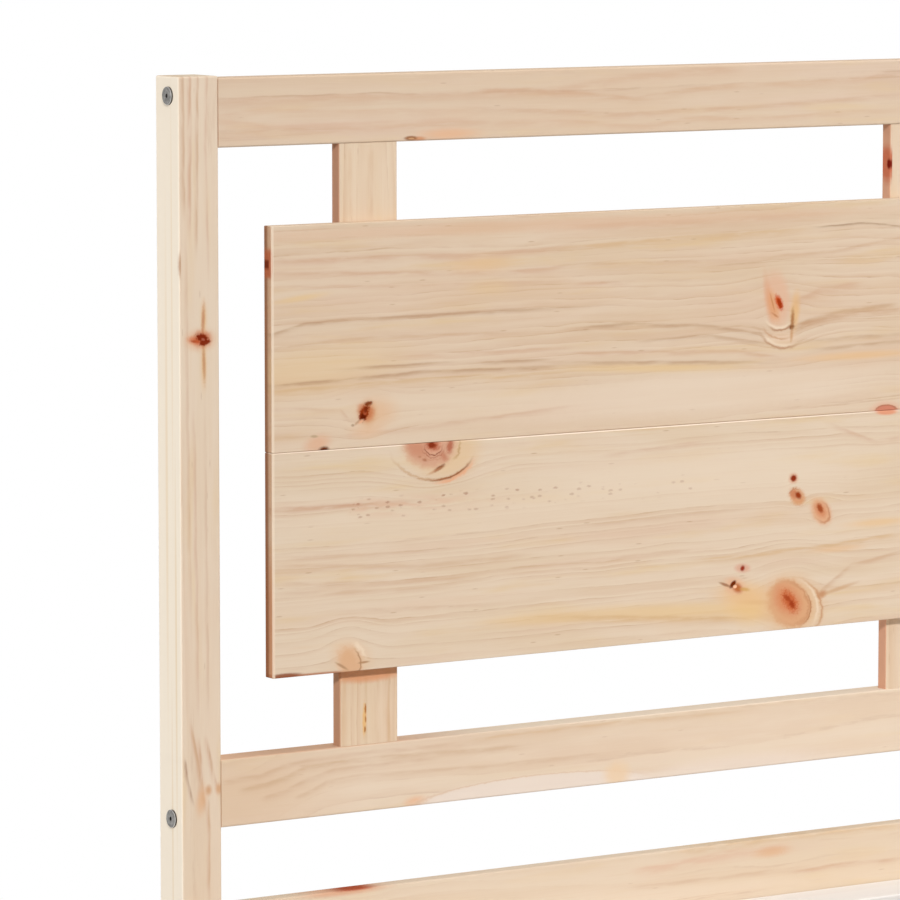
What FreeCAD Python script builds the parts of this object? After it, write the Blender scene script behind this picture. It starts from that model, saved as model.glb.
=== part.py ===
import FreeCAD, Part
import math
import os
import re
import Sketcher

# A pine plank bed for an 1800 by 2000 mm mattress, in millimetres.
# X runs across the bed, Y along it with the headboard at +Y, and Z up from the floor.

# Driving dimensions
SIZES = {
    # whole bed
    "total_width": 1855,
    "total_height": 1100,
    "inner_length": 2005,
    "post_side": 46,
    "post_reveal": 2,
    "edge_round": 2,
    # headboard
    "head_rail_height": 70,
    "head_rail_thickness": 28,
    "board_height": 230,
    "board_overhang": 89.5,
    "board_thickness": 15,
    "board_seam": 0.2,
    "board_round": 1,
    "upright_width": 70,
    "upright_thickness": 15,
    "upright_inset": 142.5,
    "upright_setback": 1,
    # rails round the mattress and the ledges inside them
    "bed_rail_top": 258,
    "bed_rail_height": 140,
    "bed_rail_thickness": 18,
    "ledge_width": 30,
    "ledge_height": 30,
    "ledge_end_gap": 2,
    # slats
    "slat_count": 15,
    "slat_width": 70,
    "slat_thickness": 15,
    "slat_drop": 63,
    "slat_end_gap": 2,
    "slat_rail_gap": 1,
    # centre beam, its hangers and its legs
    "beam_width": 40,
    "beam_height": 60,
    "beam_end_gap": 0.5,
    "beam_fit": 0.2,
    "hanger_gauge": 2,
    "hanger_seat": 40,
    "hanger_ear": 20,
    "hanger_rise": 50,
    "leg_depth": 46,
    "leg_cheek": 12,
    "leg_cheek_rise": 45,
    "leg_place_share": 0.17,
    # connector bolts and barrel nuts
    "bolt_diameter": 6,
    "bolt_length": 80,
    "bolt_head_diameter": 18.5,
    "bolt_head_thickness": 2.2,
    "bolt_head_chamfer": 0.5,
    "bolt_tip_chamfer": 0.8,
    "bolt_clearance": 0.25,
    "bolt_back_margin": 8,
    "socket_across": 4,
    "socket_depth": 1.6,
    "barrel_diameter": 10,
    "barrel_length": 12,
    "barrel_inset": 30,
    "barrel_clearance": 0.1,
    "thread_clearance": 0.05,
    "top_bolt_drop": 17.5,
    "middle_bolt_rise": 11,
    "side_bolt_spread": 44,
    # leg bolts and sleeve nuts
    "leg_bolt_length": 50,
    "leg_bolt_rise": 22,
    "sleeve_diameter": 8,
    "sleeve_length": 25,
    # dowels between the planks
    "dowel_diameter": 8,
    "dowel_length": 40,
    "dowel_chamfer": 1,
    "dowel_clearance": 0.05,
    "dowel_end_gap": 0.5,
    "head_dowel_spacing": 35,
    "end_dowel_spread": 45,
    "side_dowel_spread": 20,
    "peg_diameter": 6,
    "peg_length": 30,
    "peg_spread": 20,
    # wood screws
    "screw_diameter": 4,
    "screw_head_diameter": 8,
    "screw_head_rim": 0.3,
    "screw_head_taper": 2,
    "screw_point": 4,
    "screw_clearance": 0.1,
    "pan_head_height": 2.4,
    "pan_head_chamfer": 0.8,
    "slot_length": 4.4,
    "slot_width": 0.9,
    "slot_depth": 1.2,
    "board_screw_length": 25,
    "board_screw_spread": 75,
    "ledge_screw_length": 40,
    "slat_screw_length": 30,
    "hanger_screw_length": 16,
    "hanger_screw_spread": 12,
}

doc = FreeCAD.newDocument("PlankBed")
sheet = doc.addObject("Spreadsheet::Sheet", "Sizes")
for row, (alias, value) in enumerate(SIZES.items(), 1):
    sheet.set("A%d" % row, alias)
    sheet.set("B%d" % row, str(value))
    sheet.setAlias("B%d" % row, alias)
doc.recompute()

# Places worked out from the driving dimensions, written with the sheet's names
HALF_WIDTH = "(total_width / 2)"
HALF_INNER = "(inner_length / 2)"
HALF_LENGTH = "(inner_length / 2 + post_side)"
TOP_RAIL_BOTTOM = "(total_height - post_reveal - head_rail_height)"
TIMBER_HEIGHTS = "(head_rail_height + 2 * board_height + board_seam)"
LADDER_GAP = f"(({TOP_RAIL_BOTTOM} - bed_rail_top - {TIMBER_HEIGHTS}) / 3)"
BOARD_TOP = f"({TOP_RAIL_BOTTOM} - {LADDER_GAP})"
LOWER_BOARD_TOP = f"({BOARD_TOP} - board_height - board_seam)"
MIDDLE_RAIL_TOP = f"({LOWER_BOARD_TOP} - board_height - {LADDER_GAP})"
MIDDLE_RAIL_BOTTOM = f"({MIDDLE_RAIL_TOP} - head_rail_height)"
BED_RAIL_BOTTOM = "(bed_rail_top - bed_rail_height)"
BED_RAIL_MIDDLE = "(bed_rail_top - bed_rail_height / 2)"
SLAT_TOP = "(bed_rail_top - slat_drop)"
SLAT_BOTTOM = f"({SLAT_TOP} - slat_thickness)"
SLAT_PITCH = "((inner_length - 2 * slat_rail_gap - slat_width) / (slat_count - 1))"
LEDGE_MIDDLE = f"({SLAT_BOTTOM} - ledge_height / 2)"
BEAM_BOTTOM = f"({SLAT_BOTTOM} - beam_height)"
BEAM_SIDE = "(beam_width / 2 + beam_fit)"
UPRIGHT_PITCH = f"({HALF_WIDTH} - post_side - upright_inset - upright_width / 2)"
BOARD_LENGTH = f"(2 * ({UPRIGHT_PITCH} + upright_width / 2 + board_overhang))"
UPRIGHT_BACK = f"({HALF_INNER} + upright_setback + upright_thickness)"
UPRIGHT_MIDDLE = f"({UPRIGHT_BACK} - upright_thickness / 2)"

# Which way along its axis each side and end of the bed lies
SIDES = {"left": -1, "right": 1}
ENDS = {"head": 1, "foot": -1}
AXES = {
    "x": FreeCAD.Vector(1, 0, 0),
    "y": FreeCAD.Vector(0, 1, 0),
    "z": FreeCAD.Vector(0, 0, 1),
}

nodes = {}


def bound(text):
    """Make sums of sheet names read the sheet."""
    def read_sheet(word):
        name = word.group(0)
        return "Sizes." + name if name in SIZES else name
    return re.sub(r"[a-z_]+", read_sheet, text)


def bind(item, prop, text):
    item.setExpression(prop, bound(text))


def place(item, point):
    for letter, text in zip("xyz", point):
        bind(item, "Placement.Base." + letter, text)


def from_side(sign, inset):
    """The X that lies inset from the outer face of one side."""
    return f"{sign} * ({HALF_WIDTH} - ({inset}))"


def from_end(sign, inset):
    """The Y that lies inset from the outer face of one end."""
    return f"{sign} * ({HALF_LENGTH} - ({inset}))"


def low_face(measure, sign, inset, thickness):
    """The lower coordinate of a piece whose outer face lies inset from a side or an end."""
    return measure(sign, inset if sign < 0 else f"{inset} + {thickness}")


def keep(label, item):
    """Name a finished sub-part, whose label also names its file."""
    item.Label = label
    nodes[label] = item


def box(name, corner, size):
    item = doc.addObject("Part::Box", name)
    for prop, text in zip(("Length", "Width", "Height"), size):
        bind(item, prop, text)
    place(item, corner)
    return item


def cut(item, tool):
    result = doc.addObject("Part::Cut", item.Name + "_cut")
    result.Base = item
    result.Tool = tool
    return result


def joined(name, items):
    whole = doc.addObject("Part::MultiFuse", name)
    whole.Shapes = items
    return whole


def edge_run(edge):
    """The axis that a straight edge runs along."""
    step = edge.Vertexes[1].Point - edge.Vertexes[0].Point
    return max(AXES, key=lambda letter: abs(getattr(step, letter)))


def rounded(item, radius_name, runs):
    """Round the edges of a plank that run along the named axes."""
    doc.recompute()
    radius = sheet.get(radius_name)
    chosen = []
    for number, edge in enumerate(item.Shape.Edges, 1):
        if edge_run(edge) in runs:
            chosen.append((number, radius, radius))
    soft = doc.addObject("Part::Fillet", item.Name + "_rounded")
    soft.Base = item
    soft.Edges = chosen
    return soft


def plank(label, corner, size, runs, holes, radius_name="edge_round"):
    """A kept plank with rounded edges and groups of holes cut from it."""
    item = rounded(box(label + "_blank", corner, size), radius_name, runs)
    for group in holes:
        item = cut(item, group)
    keep(label, item)


def turned(name, outline):
    """A body turned about Z from a closed outline of (radius, height) points."""
    body = doc.addObject("PartDesign::Body", name)
    sketch = body.newObject("Sketcher::SketchObject", name + "_outline")
    planes = {plane.Role: plane for plane in body.Origin.OriginFeatures}
    sketch.AttachmentSupport = [(planes["XZ_Plane"], "")]
    sketch.MapMode = "FlatFace"
    count = len(outline)
    start = []
    for step in range(count):
        angle = 2 * math.pi * step / count
        start.append(FreeCAD.Vector(math.cos(angle), math.sin(angle), 0))
    for number in range(count):
        sketch.addGeometry(Part.LineSegment(start[number], start[(number + 1) % count]), False)
    for number in range(count):
        following = (number + 1) % count
        sketch.addConstraint(Sketcher.Constraint("Coincident", number, 2, following, 1))
    for number, (radius, height) in enumerate(outline):
        for kind, text, axis in (("DistanceX", radius, -2), ("DistanceY", height, -1)):
            if text == "0":
                sketch.addConstraint(Sketcher.Constraint("PointOnObject", number, 1, axis))
                continue
            index = sketch.addConstraint(Sketcher.Constraint(kind, -1, 1, number, 1, 1.0))
            bind(sketch, f"Constraints[{index}]", text)
    spin = body.newObject("PartDesign::Revolution", name + "_turned")
    spin.Profile = sketch
    spin.ReferenceAxis = (sketch, ["V_Axis"])
    spin.Angle = 360
    return body


def round_hole(name, radius, depth):
    """The solid that cuts a plain round hole."""
    return turned(name, [("0", "0"), (radius, "0"), (radius, depth), ("0", depth)])


def copies(name, master, places):
    """Links to one shape, gathered as separate solids; a place is a point, an axis and a sign."""
    links = []
    for point, letter, sign in places:
        link = doc.addObject("App::Link", name + "_copy")
        link.LinkedObject = master
        turned_to = FreeCAD.Rotation(AXES["z"], AXES[letter] * sign)
        link.Placement = FreeCAD.Placement(FreeCAD.Vector(), turned_to)
        place(link, point)
        links.append(link)
    gathered = doc.addObject("Part::Compound", name)
    gathered.Links = links
    return gathered


def fasten(label, kind, places):
    """Keep one kind of fastener as a sub-part and give back the holes that take it."""
    piece, hole = kind
    keep(label, copies(label + "_set", piece, places))
    return copies(label + "_holes", hole, places)


# Fasteners, each a piece and its hole, built along +Z from where the tool that drives it meets it

BOLT_HEAD = [
    ("0", "0"),
    ("bolt_head_diameter / 2 - bolt_head_chamfer", "0"),
    ("bolt_head_diameter / 2", "bolt_head_chamfer"),
    ("bolt_head_diameter / 2", "bolt_head_thickness"),
]


def socketed(blank):
    """Sink a hexagon socket in a bolt head."""
    socket = doc.addObject("Part::Prism", blank.Name + "_socket")
    socket.Polygon = 6
    bind(socket, "Circumradius", "socket_across / sqrt(3)")
    bind(socket, "Height", "socket_depth")
    return cut(blank, socket)


def slot(name, length, width):
    """A slot across the end of a fastener."""
    corner = (f"-({length}) / 2", f"-({width}) / 2", "0")
    return box(name, corner, (length, width, "slot_depth"))


def crossed(blank):
    """Sink a cross recess in a screw head."""
    one_way = slot("recess_one_way", "slot_length", "slot_width")
    other_way = slot("recess_other_way", "slot_width", "slot_length")
    return cut(blank, joined("recess", [one_way, other_way]))


def bolt(name, length):
    reach = f"bolt_head_thickness + {length}"
    piece = turned(name, BOLT_HEAD + [
        ("bolt_diameter / 2", "bolt_head_thickness"),
        ("bolt_diameter / 2", f"{reach} - bolt_tip_chamfer"),
        ("bolt_diameter / 2 - bolt_tip_chamfer", reach),
        ("0", reach),
    ])
    hole = round_hole(name + "_hole", "bolt_diameter / 2 + bolt_clearance", f"{reach} + bolt_clearance")
    return socketed(piece), hole


def barrel_nut(name, letter):
    """A nut cross-drilled along one axis, which lies under the back face of a rail."""
    start = "bolt_back_margin - barrel_length / 2"
    finish = "bolt_back_margin + barrel_length / 2"
    blank = turned(name, [
        ("0", start),
        ("barrel_diameter / 2", start),
        ("barrel_diameter / 2", finish),
        ("0", finish),
    ])
    thread_radius = "bolt_diameter / 2 + thread_clearance"
    thread = round_hole(name + "_thread", thread_radius, "barrel_diameter + 2 * barrel_clearance")
    before = "-(barrel_diameter / 2 + barrel_clearance)"
    entry = (before, "0", "bolt_back_margin") if letter == "x" else ("0", before, "bolt_back_margin")
    piece = cut(blank, copies(name + "_crossing", thread, [(entry, letter, 1)]))
    mouth = slot(name + "_slot", "barrel_diameter", "slot_width")
    place(mouth, ("-barrel_diameter / 2", "-slot_width / 2", start))
    hole = round_hole(name + "_hole", "barrel_diameter / 2 + barrel_clearance", finish)
    return cut(piece, mouth), hole


def sleeve_nut():
    reach = "bolt_head_thickness + sleeve_length"
    thread_radius = "bolt_diameter / 2 + thread_clearance"
    piece = turned("sleeve", BOLT_HEAD + [
        ("sleeve_diameter / 2", "bolt_head_thickness"),
        ("sleeve_diameter / 2", reach),
        (thread_radius, reach),
        (thread_radius, "bolt_head_thickness"),
        ("0", "bolt_head_thickness"),
    ])
    hole = round_hole("sleeve_hole", "sleeve_diameter / 2 + bolt_clearance", f"{reach} + bolt_clearance")
    return socketed(piece), hole


def dowel(name, diameter, length):
    """A chamfered dowel that lies centred in a slightly longer hole."""
    far = f"dowel_end_gap + {length}"
    piece = turned(name, [
        ("0", "dowel_end_gap"),
        (f"{diameter} / 2 - dowel_chamfer", "dowel_end_gap"),
        (f"{diameter} / 2", "dowel_end_gap + dowel_chamfer"),
        (f"{diameter} / 2", f"{far} - dowel_chamfer"),
        (f"{diameter} / 2 - dowel_chamfer", far),
        ("0", far),
    ])
    hole = round_hole(name + "_hole", f"{diameter} / 2 + dowel_clearance", f"{far} + dowel_end_gap")
    return piece, hole


def countersunk_screw(name, length):
    neck = "screw_head_rim + screw_head_taper"
    piece = turned(name, [
        ("0", "0"),
        ("screw_head_diameter / 2", "0"),
        ("screw_head_diameter / 2", "screw_head_rim"),
        ("screw_diameter / 2", neck),
        ("screw_diameter / 2", f"{length} - screw_point"),
        ("0", length),
    ])
    head_radius = "screw_head_diameter / 2 + screw_clearance"
    hole_radius = "screw_diameter / 2 + screw_clearance"
    hole = turned(name + "_hole", [
        ("0", "0"),
        (head_radius, "0"),
        (head_radius, "screw_head_rim"),
        (hole_radius, neck),
        (hole_radius, f"{length} + screw_clearance"),
        ("0", f"{length} + screw_clearance"),
    ])
    return crossed(piece), hole


def pan_head_screw(name, length):
    reach = f"pan_head_height + {length}"
    piece = turned(name, [
        ("0", "0"),
        ("screw_head_diameter / 2 - pan_head_chamfer", "0"),
        ("screw_head_diameter / 2", "pan_head_chamfer"),
        ("screw_head_diameter / 2", "pan_head_height"),
        ("screw_diameter / 2", "pan_head_height"),
        ("screw_diameter / 2", f"{reach} - screw_point"),
        ("0", reach),
    ])
    hole = round_hole(name + "_hole", "screw_diameter / 2 + screw_clearance", f"{reach} + screw_clearance")
    return crossed(piece), hole


RAIL_BOLT = bolt("rail_bolt", "bolt_length")
CROSS_RAIL_NUT = barrel_nut("cross_rail_nut", "x")
SIDE_RAIL_NUT = barrel_nut("side_rail_nut", "y")
RAIL_DOWEL = dowel("rail_dowel", "dowel_diameter", "dowel_length")

# Rails across the bed, bolted between two posts with their inner faces flush with the posts'

CROSS_RAILS = {
    "head_top_rail": {
        "end": "head",
        "bottom": TOP_RAIL_BOTTOM,
        "height": "head_rail_height",
        "thickness": "head_rail_thickness",
        "bolt_level": f"{TOP_RAIL_BOTTOM} + head_rail_height - top_bolt_drop",
        "dowel_levels": [f"{TOP_RAIL_BOTTOM} + head_rail_height - top_bolt_drop - head_dowel_spacing"],
    },
    "head_middle_rail": {
        "end": "head",
        "bottom": MIDDLE_RAIL_BOTTOM,
        "height": "head_rail_height",
        "thickness": "head_rail_thickness",
        "bolt_level": f"{MIDDLE_RAIL_BOTTOM} + middle_bolt_rise",
        "dowel_levels": [f"{MIDDLE_RAIL_BOTTOM} + middle_bolt_rise + head_dowel_spacing"],
    },
}
for rail, end in (("head_lower_rail", "head"), ("foot_rail", "foot")):
    CROSS_RAILS[rail] = {
        "end": end,
        "bottom": BED_RAIL_BOTTOM,
        "height": "bed_rail_height",
        "thickness": "bed_rail_thickness",
        "bolt_level": BED_RAIL_MIDDLE,
        "dowel_levels": [
            f"{BED_RAIL_MIDDLE} + end_dowel_spread",
            f"{BED_RAIL_MIDDLE} - end_dowel_spread",
        ],
    }

holes = {}
for end, along in ENDS.items():
    bolts = []
    nuts = []
    dowels = []
    for rail in CROSS_RAILS.values():
        if rail["end"] != end:
            continue
        thickness = rail["thickness"]
        bolt_y = from_end(along, f"post_side - ({thickness} - bolt_back_margin)")
        back_y = from_end(along, f"post_side - {thickness}")
        dowel_y = from_end(along, f"post_side - {thickness} / 2")
        level = rail["bolt_level"]
        for across in SIDES.values():
            nut_x = from_side(across, "post_side + barrel_inset")
            dowel_x = from_side(across, "post_side - dowel_length / 2 - dowel_end_gap")
            bolts.append(((from_side(across, "-bolt_head_thickness"), bolt_y, level), "x", -across))
            nuts.append(((nut_x, back_y, level), "y", -along))
            for dowel_level in rail["dowel_levels"]:
                dowels.append(((dowel_x, dowel_y, dowel_level), "x", -across))
    holes[end] = [
        fasten(f"{end}_rail_bolts", RAIL_BOLT, bolts),
        fasten(f"{end}_rail_barrel_nuts", CROSS_RAIL_NUT, nuts),
        fasten(f"{end}_rail_dowels", RAIL_DOWEL, dowels),
    ]

# Joints between the side rails and all four posts

bolts = []
nuts = []
dowels = []
for across in SIDES.values():
    bolt_x = from_side(across, "bed_rail_thickness - bolt_back_margin")
    inner_x = from_side(across, "bed_rail_thickness")
    dowel_x = from_side(across, "bed_rail_thickness / 2")
    for along in ENDS.values():
        nut_y = from_end(along, "post_side + barrel_inset")
        dowel_y = from_end(along, "post_side - dowel_length / 2 - dowel_end_gap")
        for step in (-1, 1):
            level = f"{BED_RAIL_MIDDLE} + {step} * side_bolt_spread"
            dowel_level = f"{BED_RAIL_MIDDLE} + {step} * side_dowel_spread"
            bolts.append(((bolt_x, from_end(along, "-bolt_head_thickness"), level), "y", -along))
            nuts.append(((inner_x, nut_y, level), "x", across))
            dowels.append(((dowel_x, dowel_y, dowel_level), "y", -along))
side_holes = [
    fasten("side_rail_bolts", RAIL_BOLT, bolts),
    fasten("side_rail_barrel_nuts", SIDE_RAIL_NUT, nuts),
    fasten("side_rail_dowels", RAIL_DOWEL, dowels),
]

# Pegs that hold the uprights between the two upper rails, and screws that hold the boards on them

UPRIGHTS = {"left": -1, "centre": 0, "right": 1}
BOARDS = {"upper": BOARD_TOP, "lower": LOWER_BOARD_TOP}
pegs = []
board_screws = []
for step in UPRIGHTS.values():
    upright_x = f"{step} * {UPRIGHT_PITCH}"
    for joint in (TOP_RAIL_BOTTOM, MIDDLE_RAIL_TOP):
        peg_z = f"{joint} - peg_length / 2 - dowel_end_gap"
        for spread in (-1, 1):
            pegs.append(((f"{upright_x} + {spread} * peg_spread", UPRIGHT_MIDDLE, peg_z), "z", 1))
    for board_top in BOARDS.values():
        for spread in (-1, 1):
            level = f"{board_top} - board_height / 2 + {spread} * board_screw_spread"
            board_screws.append(((upright_x, UPRIGHT_BACK, level), "y", -1))
peg_holes = fasten("upright_pegs", dowel("peg", "peg_diameter", "peg_length"), pegs)
BOARD_SCREW = countersunk_screw("board_screw", "board_screw_length")
board_screw_holes = fasten("head_board_screws", BOARD_SCREW, board_screws)

# Posts

for end, along in ENDS.items():
    top = "total_height" if end == "head" else "bed_rail_top + post_reveal"
    post_y = low_face(from_end, along, "0", "post_side")
    for side, across in SIDES.items():
        corner = (low_face(from_side, across, "0", "post_side"), post_y, "0")
        size = ("post_side", "post_side", top)
        plank(f"{end}_post_{side}", corner, size, "xyz", holes[end] + side_holes)

# Uprights and the two boards on them

for step_name, step in UPRIGHTS.items():
    upright_x = f"{step} * {UPRIGHT_PITCH} - upright_width / 2"
    corner = (upright_x, f"{HALF_INNER} + upright_setback", MIDDLE_RAIL_TOP)
    size = ("upright_width", "upright_thickness", f"{TOP_RAIL_BOTTOM} - {MIDDLE_RAIL_TOP}")
    plank(f"head_upright_{step_name}", corner, size, "z", [peg_holes, board_screw_holes])

for name, board_top in BOARDS.items():
    corner = (
        f"-{BOARD_LENGTH} / 2",
        f"{HALF_INNER} + upright_setback - board_thickness",
        f"{board_top} - board_height",
    )
    size = (BOARD_LENGTH, "board_thickness", "board_height")
    plank(f"head_board_{name}", corner, size, "xyz", [board_screw_holes], "board_round")

# Centre beam in its two hangers

hanger_screws = []
for along in ENDS.values():
    for across in SIDES.values():
        ear_x = f"{across} * ({BEAM_SIDE} + hanger_gauge + hanger_ear / 2)"
        ear_y = from_end(along, "post_side + hanger_gauge + pan_head_height")
        for step in (-1, 1):
            level = f"{BEAM_BOTTOM} - hanger_gauge + hanger_rise / 2 + {step} * hanger_screw_spread"
            hanger_screws.append(((ear_x, ear_y, level), "y", along))
HANGER_SCREW = pan_head_screw("hanger_screw", "hanger_screw_length")
hanger_screw_holes = fasten("hanger_screws", HANGER_SCREW, hanger_screws)

for end, along in ENDS.items():
    sheet_bottom = f"{BEAM_BOTTOM} - hanger_gauge"
    cradle_y = low_face(from_end, along, "post_side", "hanger_seat")
    ear_y = low_face(from_end, along, "post_side", "hanger_gauge")
    cradle_width = f"2 * ({BEAM_SIDE} + hanger_gauge)"
    seat = box("hanger_seat", (f"-({cradle_width}) / 2", cradle_y, sheet_bottom),
               (cradle_width, "hanger_seat", "hanger_gauge"))
    sheets = [seat]
    for across in SIDES.values():
        cheek_x = BEAM_SIDE if across > 0 else f"-({BEAM_SIDE} + hanger_gauge)"
        ear_width = "hanger_gauge + hanger_ear"
        ear_x = BEAM_SIDE if across > 0 else f"-({BEAM_SIDE} + {ear_width})"
        sheets.append(box("hanger_cheek", (cheek_x, cradle_y, sheet_bottom),
                          ("hanger_gauge", "hanger_seat", "hanger_rise")))
        sheets.append(box("hanger_ear", (ear_x, ear_y, sheet_bottom),
                          (ear_width, "hanger_gauge", "hanger_rise")))
    keep(f"beam_hanger_{end}", cut(joined("hanger", sheets), hanger_screw_holes))

# Legs that fork round the beam, each held by a bolt and a sleeve nut

cheek_x = f"({BEAM_SIDE} + leg_cheek)"
leg_bolts = []
sleeve_nuts = []
for along in ENDS.values():
    leg_y = f"{along} * leg_place_share * inner_length"
    bolt_z = f"{BEAM_BOTTOM} + leg_bolt_rise"
    leg_bolts.append(((f"-({cheek_x} + bolt_head_thickness)", leg_y, bolt_z), "x", 1))
    sleeve_nuts.append(((f"{cheek_x} + bolt_head_thickness", leg_y, bolt_z), "x", -1))
leg_holes = [
    fasten("leg_bolts", bolt("leg_bolt", "leg_bolt_length"), leg_bolts),
    fasten("leg_sleeve_nuts", sleeve_nut(), sleeve_nuts),
]

for end, along in ENDS.items():
    leg_y = f"{along} * leg_place_share * inner_length - leg_depth / 2"
    blank = box("leg_blank", (f"-{cheek_x}", leg_y, "0"),
                (f"2 * {cheek_x}", "leg_depth", f"{BEAM_BOTTOM} + leg_cheek_rise"))
    fork = box("leg_fork", (f"-{BEAM_SIDE}", leg_y, BEAM_BOTTOM),
               (f"2 * {BEAM_SIDE}", "leg_depth", "leg_cheek_rise"))
    leg = cut(rounded(blank, "edge_round", "xyz"), fork)
    for group in leg_holes:
        leg = cut(leg, group)
    keep(f"centre_leg_{end}", leg)

# Slats and the screws that hold them to the ledges and the beam

slat_places = []
slat_screws = []
ledge_screws = []
for number in range(SIZES["slat_count"]):
    slat_y = f"{HALF_INNER} - slat_rail_gap - slat_width - {number} * {SLAT_PITCH}"
    slat_places.append(slat_y)
    middle_y = f"{slat_y} + slat_width / 2"
    slat_screws.append((("0", middle_y, SLAT_TOP), "z", -1))
    for across in SIDES.values():
        ledge_x = from_side(across, "bed_rail_thickness + ledge_width / 2")
        slat_screws.append(((ledge_x, middle_y, SLAT_TOP), "z", -1))
        if number > 0:
            between_y = f"{middle_y} + {SLAT_PITCH} / 2"
            head_x = from_side(across, "bed_rail_thickness + ledge_width")
            ledge_screws.append(((head_x, between_y, LEDGE_MIDDLE), "x", across))
slat_screw_holes = fasten(
    "slat_screws", countersunk_screw("slat_screw", "slat_screw_length"), slat_screws)
ledge_screw_holes = fasten(
    "ledge_screws", countersunk_screw("ledge_screw", "ledge_screw_length"), ledge_screws)

slat_length = "(total_width - 2 * bed_rail_thickness - 2 * slat_end_gap)"
for number, slat_y in enumerate(slat_places, 1):
    corner = (f"-{slat_length} / 2", slat_y, SLAT_BOTTOM)
    size = (slat_length, "slat_width", "slat_thickness")
    plank("slat_%02d" % number, corner, size, "x", [slat_screw_holes])

# Rails between the posts, and the ledges and the beam that carry the slats

for label, rail in CROSS_RAILS.items():
    along = ENDS[rail["end"]]
    rail_y = low_face(from_end, along, f"post_side - {rail['thickness']}", rail["thickness"])
    corner = (from_side(-1, "post_side"), rail_y, rail["bottom"])
    size = ("total_width - 2 * post_side", rail["thickness"], rail["height"])
    own_holes = peg_holes if rail["thickness"] == "head_rail_thickness" else hanger_screw_holes
    plank(label, corner, size, "x", holes[rail["end"]] + [own_holes])

for side, across in SIDES.items():
    corner = (low_face(from_side, across, "0", "bed_rail_thickness"), f"-{HALF_INNER}", BED_RAIL_BOTTOM)
    size = ("bed_rail_thickness", "inner_length", "bed_rail_height")
    plank(f"side_rail_{side}", corner, size, "y", side_holes + [ledge_screw_holes])
    corner = (
        low_face(from_side, across, "bed_rail_thickness", "ledge_width"),
        f"-{HALF_INNER} + ledge_end_gap",
        f"{SLAT_BOTTOM} - ledge_height",
    )
    size = ("ledge_width", "inner_length - 2 * ledge_end_gap", "ledge_height")
    plank(f"slat_ledge_{side}", corner, size, "y", [ledge_screw_holes, slat_screw_holes])

corner = ("-beam_width / 2", f"-{HALF_INNER} + beam_end_gap", BEAM_BOTTOM)
size = ("beam_width", "inner_length - 2 * beam_end_gap", "beam_height")
plank("centre_beam", corner, size, "y", leg_holes + [slat_screw_holes])

doc.recompute()
for item in doc.Objects:
    if "Invalid" in item.State or "Error" in item.State:
        raise RuntimeError(f"{item.Label} did not compute")
os.makedirs("parts", exist_ok=True)
for label, item in nodes.items():
    shape = item.Shape
    if shape.isNull() or not shape.isValid():
        raise RuntimeError(f"{label} has no valid shape")
    shape.exportStep(f"parts/{label}.step")
print(len(nodes), "sub-parts written")
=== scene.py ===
import math

import bpy
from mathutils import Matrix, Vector


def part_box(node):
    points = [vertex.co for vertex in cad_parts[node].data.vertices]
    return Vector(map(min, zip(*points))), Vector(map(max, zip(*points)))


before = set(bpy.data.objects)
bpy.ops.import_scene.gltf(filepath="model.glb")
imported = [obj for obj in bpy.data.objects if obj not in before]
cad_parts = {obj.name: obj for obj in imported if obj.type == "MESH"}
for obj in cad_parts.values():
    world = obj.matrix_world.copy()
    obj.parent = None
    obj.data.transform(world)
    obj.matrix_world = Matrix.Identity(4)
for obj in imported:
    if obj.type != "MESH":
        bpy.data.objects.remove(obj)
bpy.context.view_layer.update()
MM = 0.001


def face(node, axis, end):
    """Where a piece ends on an axis, in millimetres; end is 0 for its low side and 1 for its high side."""
    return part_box(node)[end]["xyz".index(axis)] / MM


def linear(red, green, blue):
    """A colour given as it looks on a screen, 0 to 255, as the linear values that a shader takes."""
    def channel(level):
        share = level / 255
        return share / 12.92 if share <= 0.04045 else ((share + 0.055) / 1.055) ** 2.4
    return (channel(red), channel(green), channel(blue), 1.0)


class Value:
    """A socket of a node tree that can be used in sums."""

    def __init__(self, tree, socket):
        self.tree = tree
        self.socket = socket

    def maths(self, operation, *others):
        node = self.tree.nodes.new("ShaderNodeMath")
        node.operation = operation
        for slot, item in enumerate((self, *others)):
            feed(self.tree, node.inputs[slot], item)
        return Value(self.tree, node.outputs[0])

    def __add__(self, other):
        return self.maths("ADD", other)

    def __sub__(self, other):
        return self.maths("SUBTRACT", other)

    def __mul__(self, other):
        return self.maths("MULTIPLY", other)

    def __truediv__(self, other):
        return self.maths("DIVIDE", other)

    def bell(self):
        """1 at zero, falling smoothly to 0 on both sides."""
        return (self * self * -1.0).maths("EXPONENT")

    def step(self, low, high):
        """0 below low and 1 above high, smooth between; low may be the greater."""
        node = self.tree.nodes.new("ShaderNodeMapRange")
        node.interpolation_type = "SMOOTHSTEP"
        flip = low > high
        feed(self.tree, node.inputs["Value"], self)
        node.inputs["From Min"].default_value = min(low, high)
        node.inputs["From Max"].default_value = max(low, high)
        node.inputs["To Min"].default_value = 1.0 if flip else 0.0
        node.inputs["To Max"].default_value = 0.0 if flip else 1.0
        return Value(self.tree, node.outputs["Result"])


def feed(tree, socket, item):
    """Give an input socket a value of the tree or a constant."""
    if isinstance(item, Value):
        tree.links.new(item.socket, socket)
    else:
        socket.default_value = item


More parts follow.
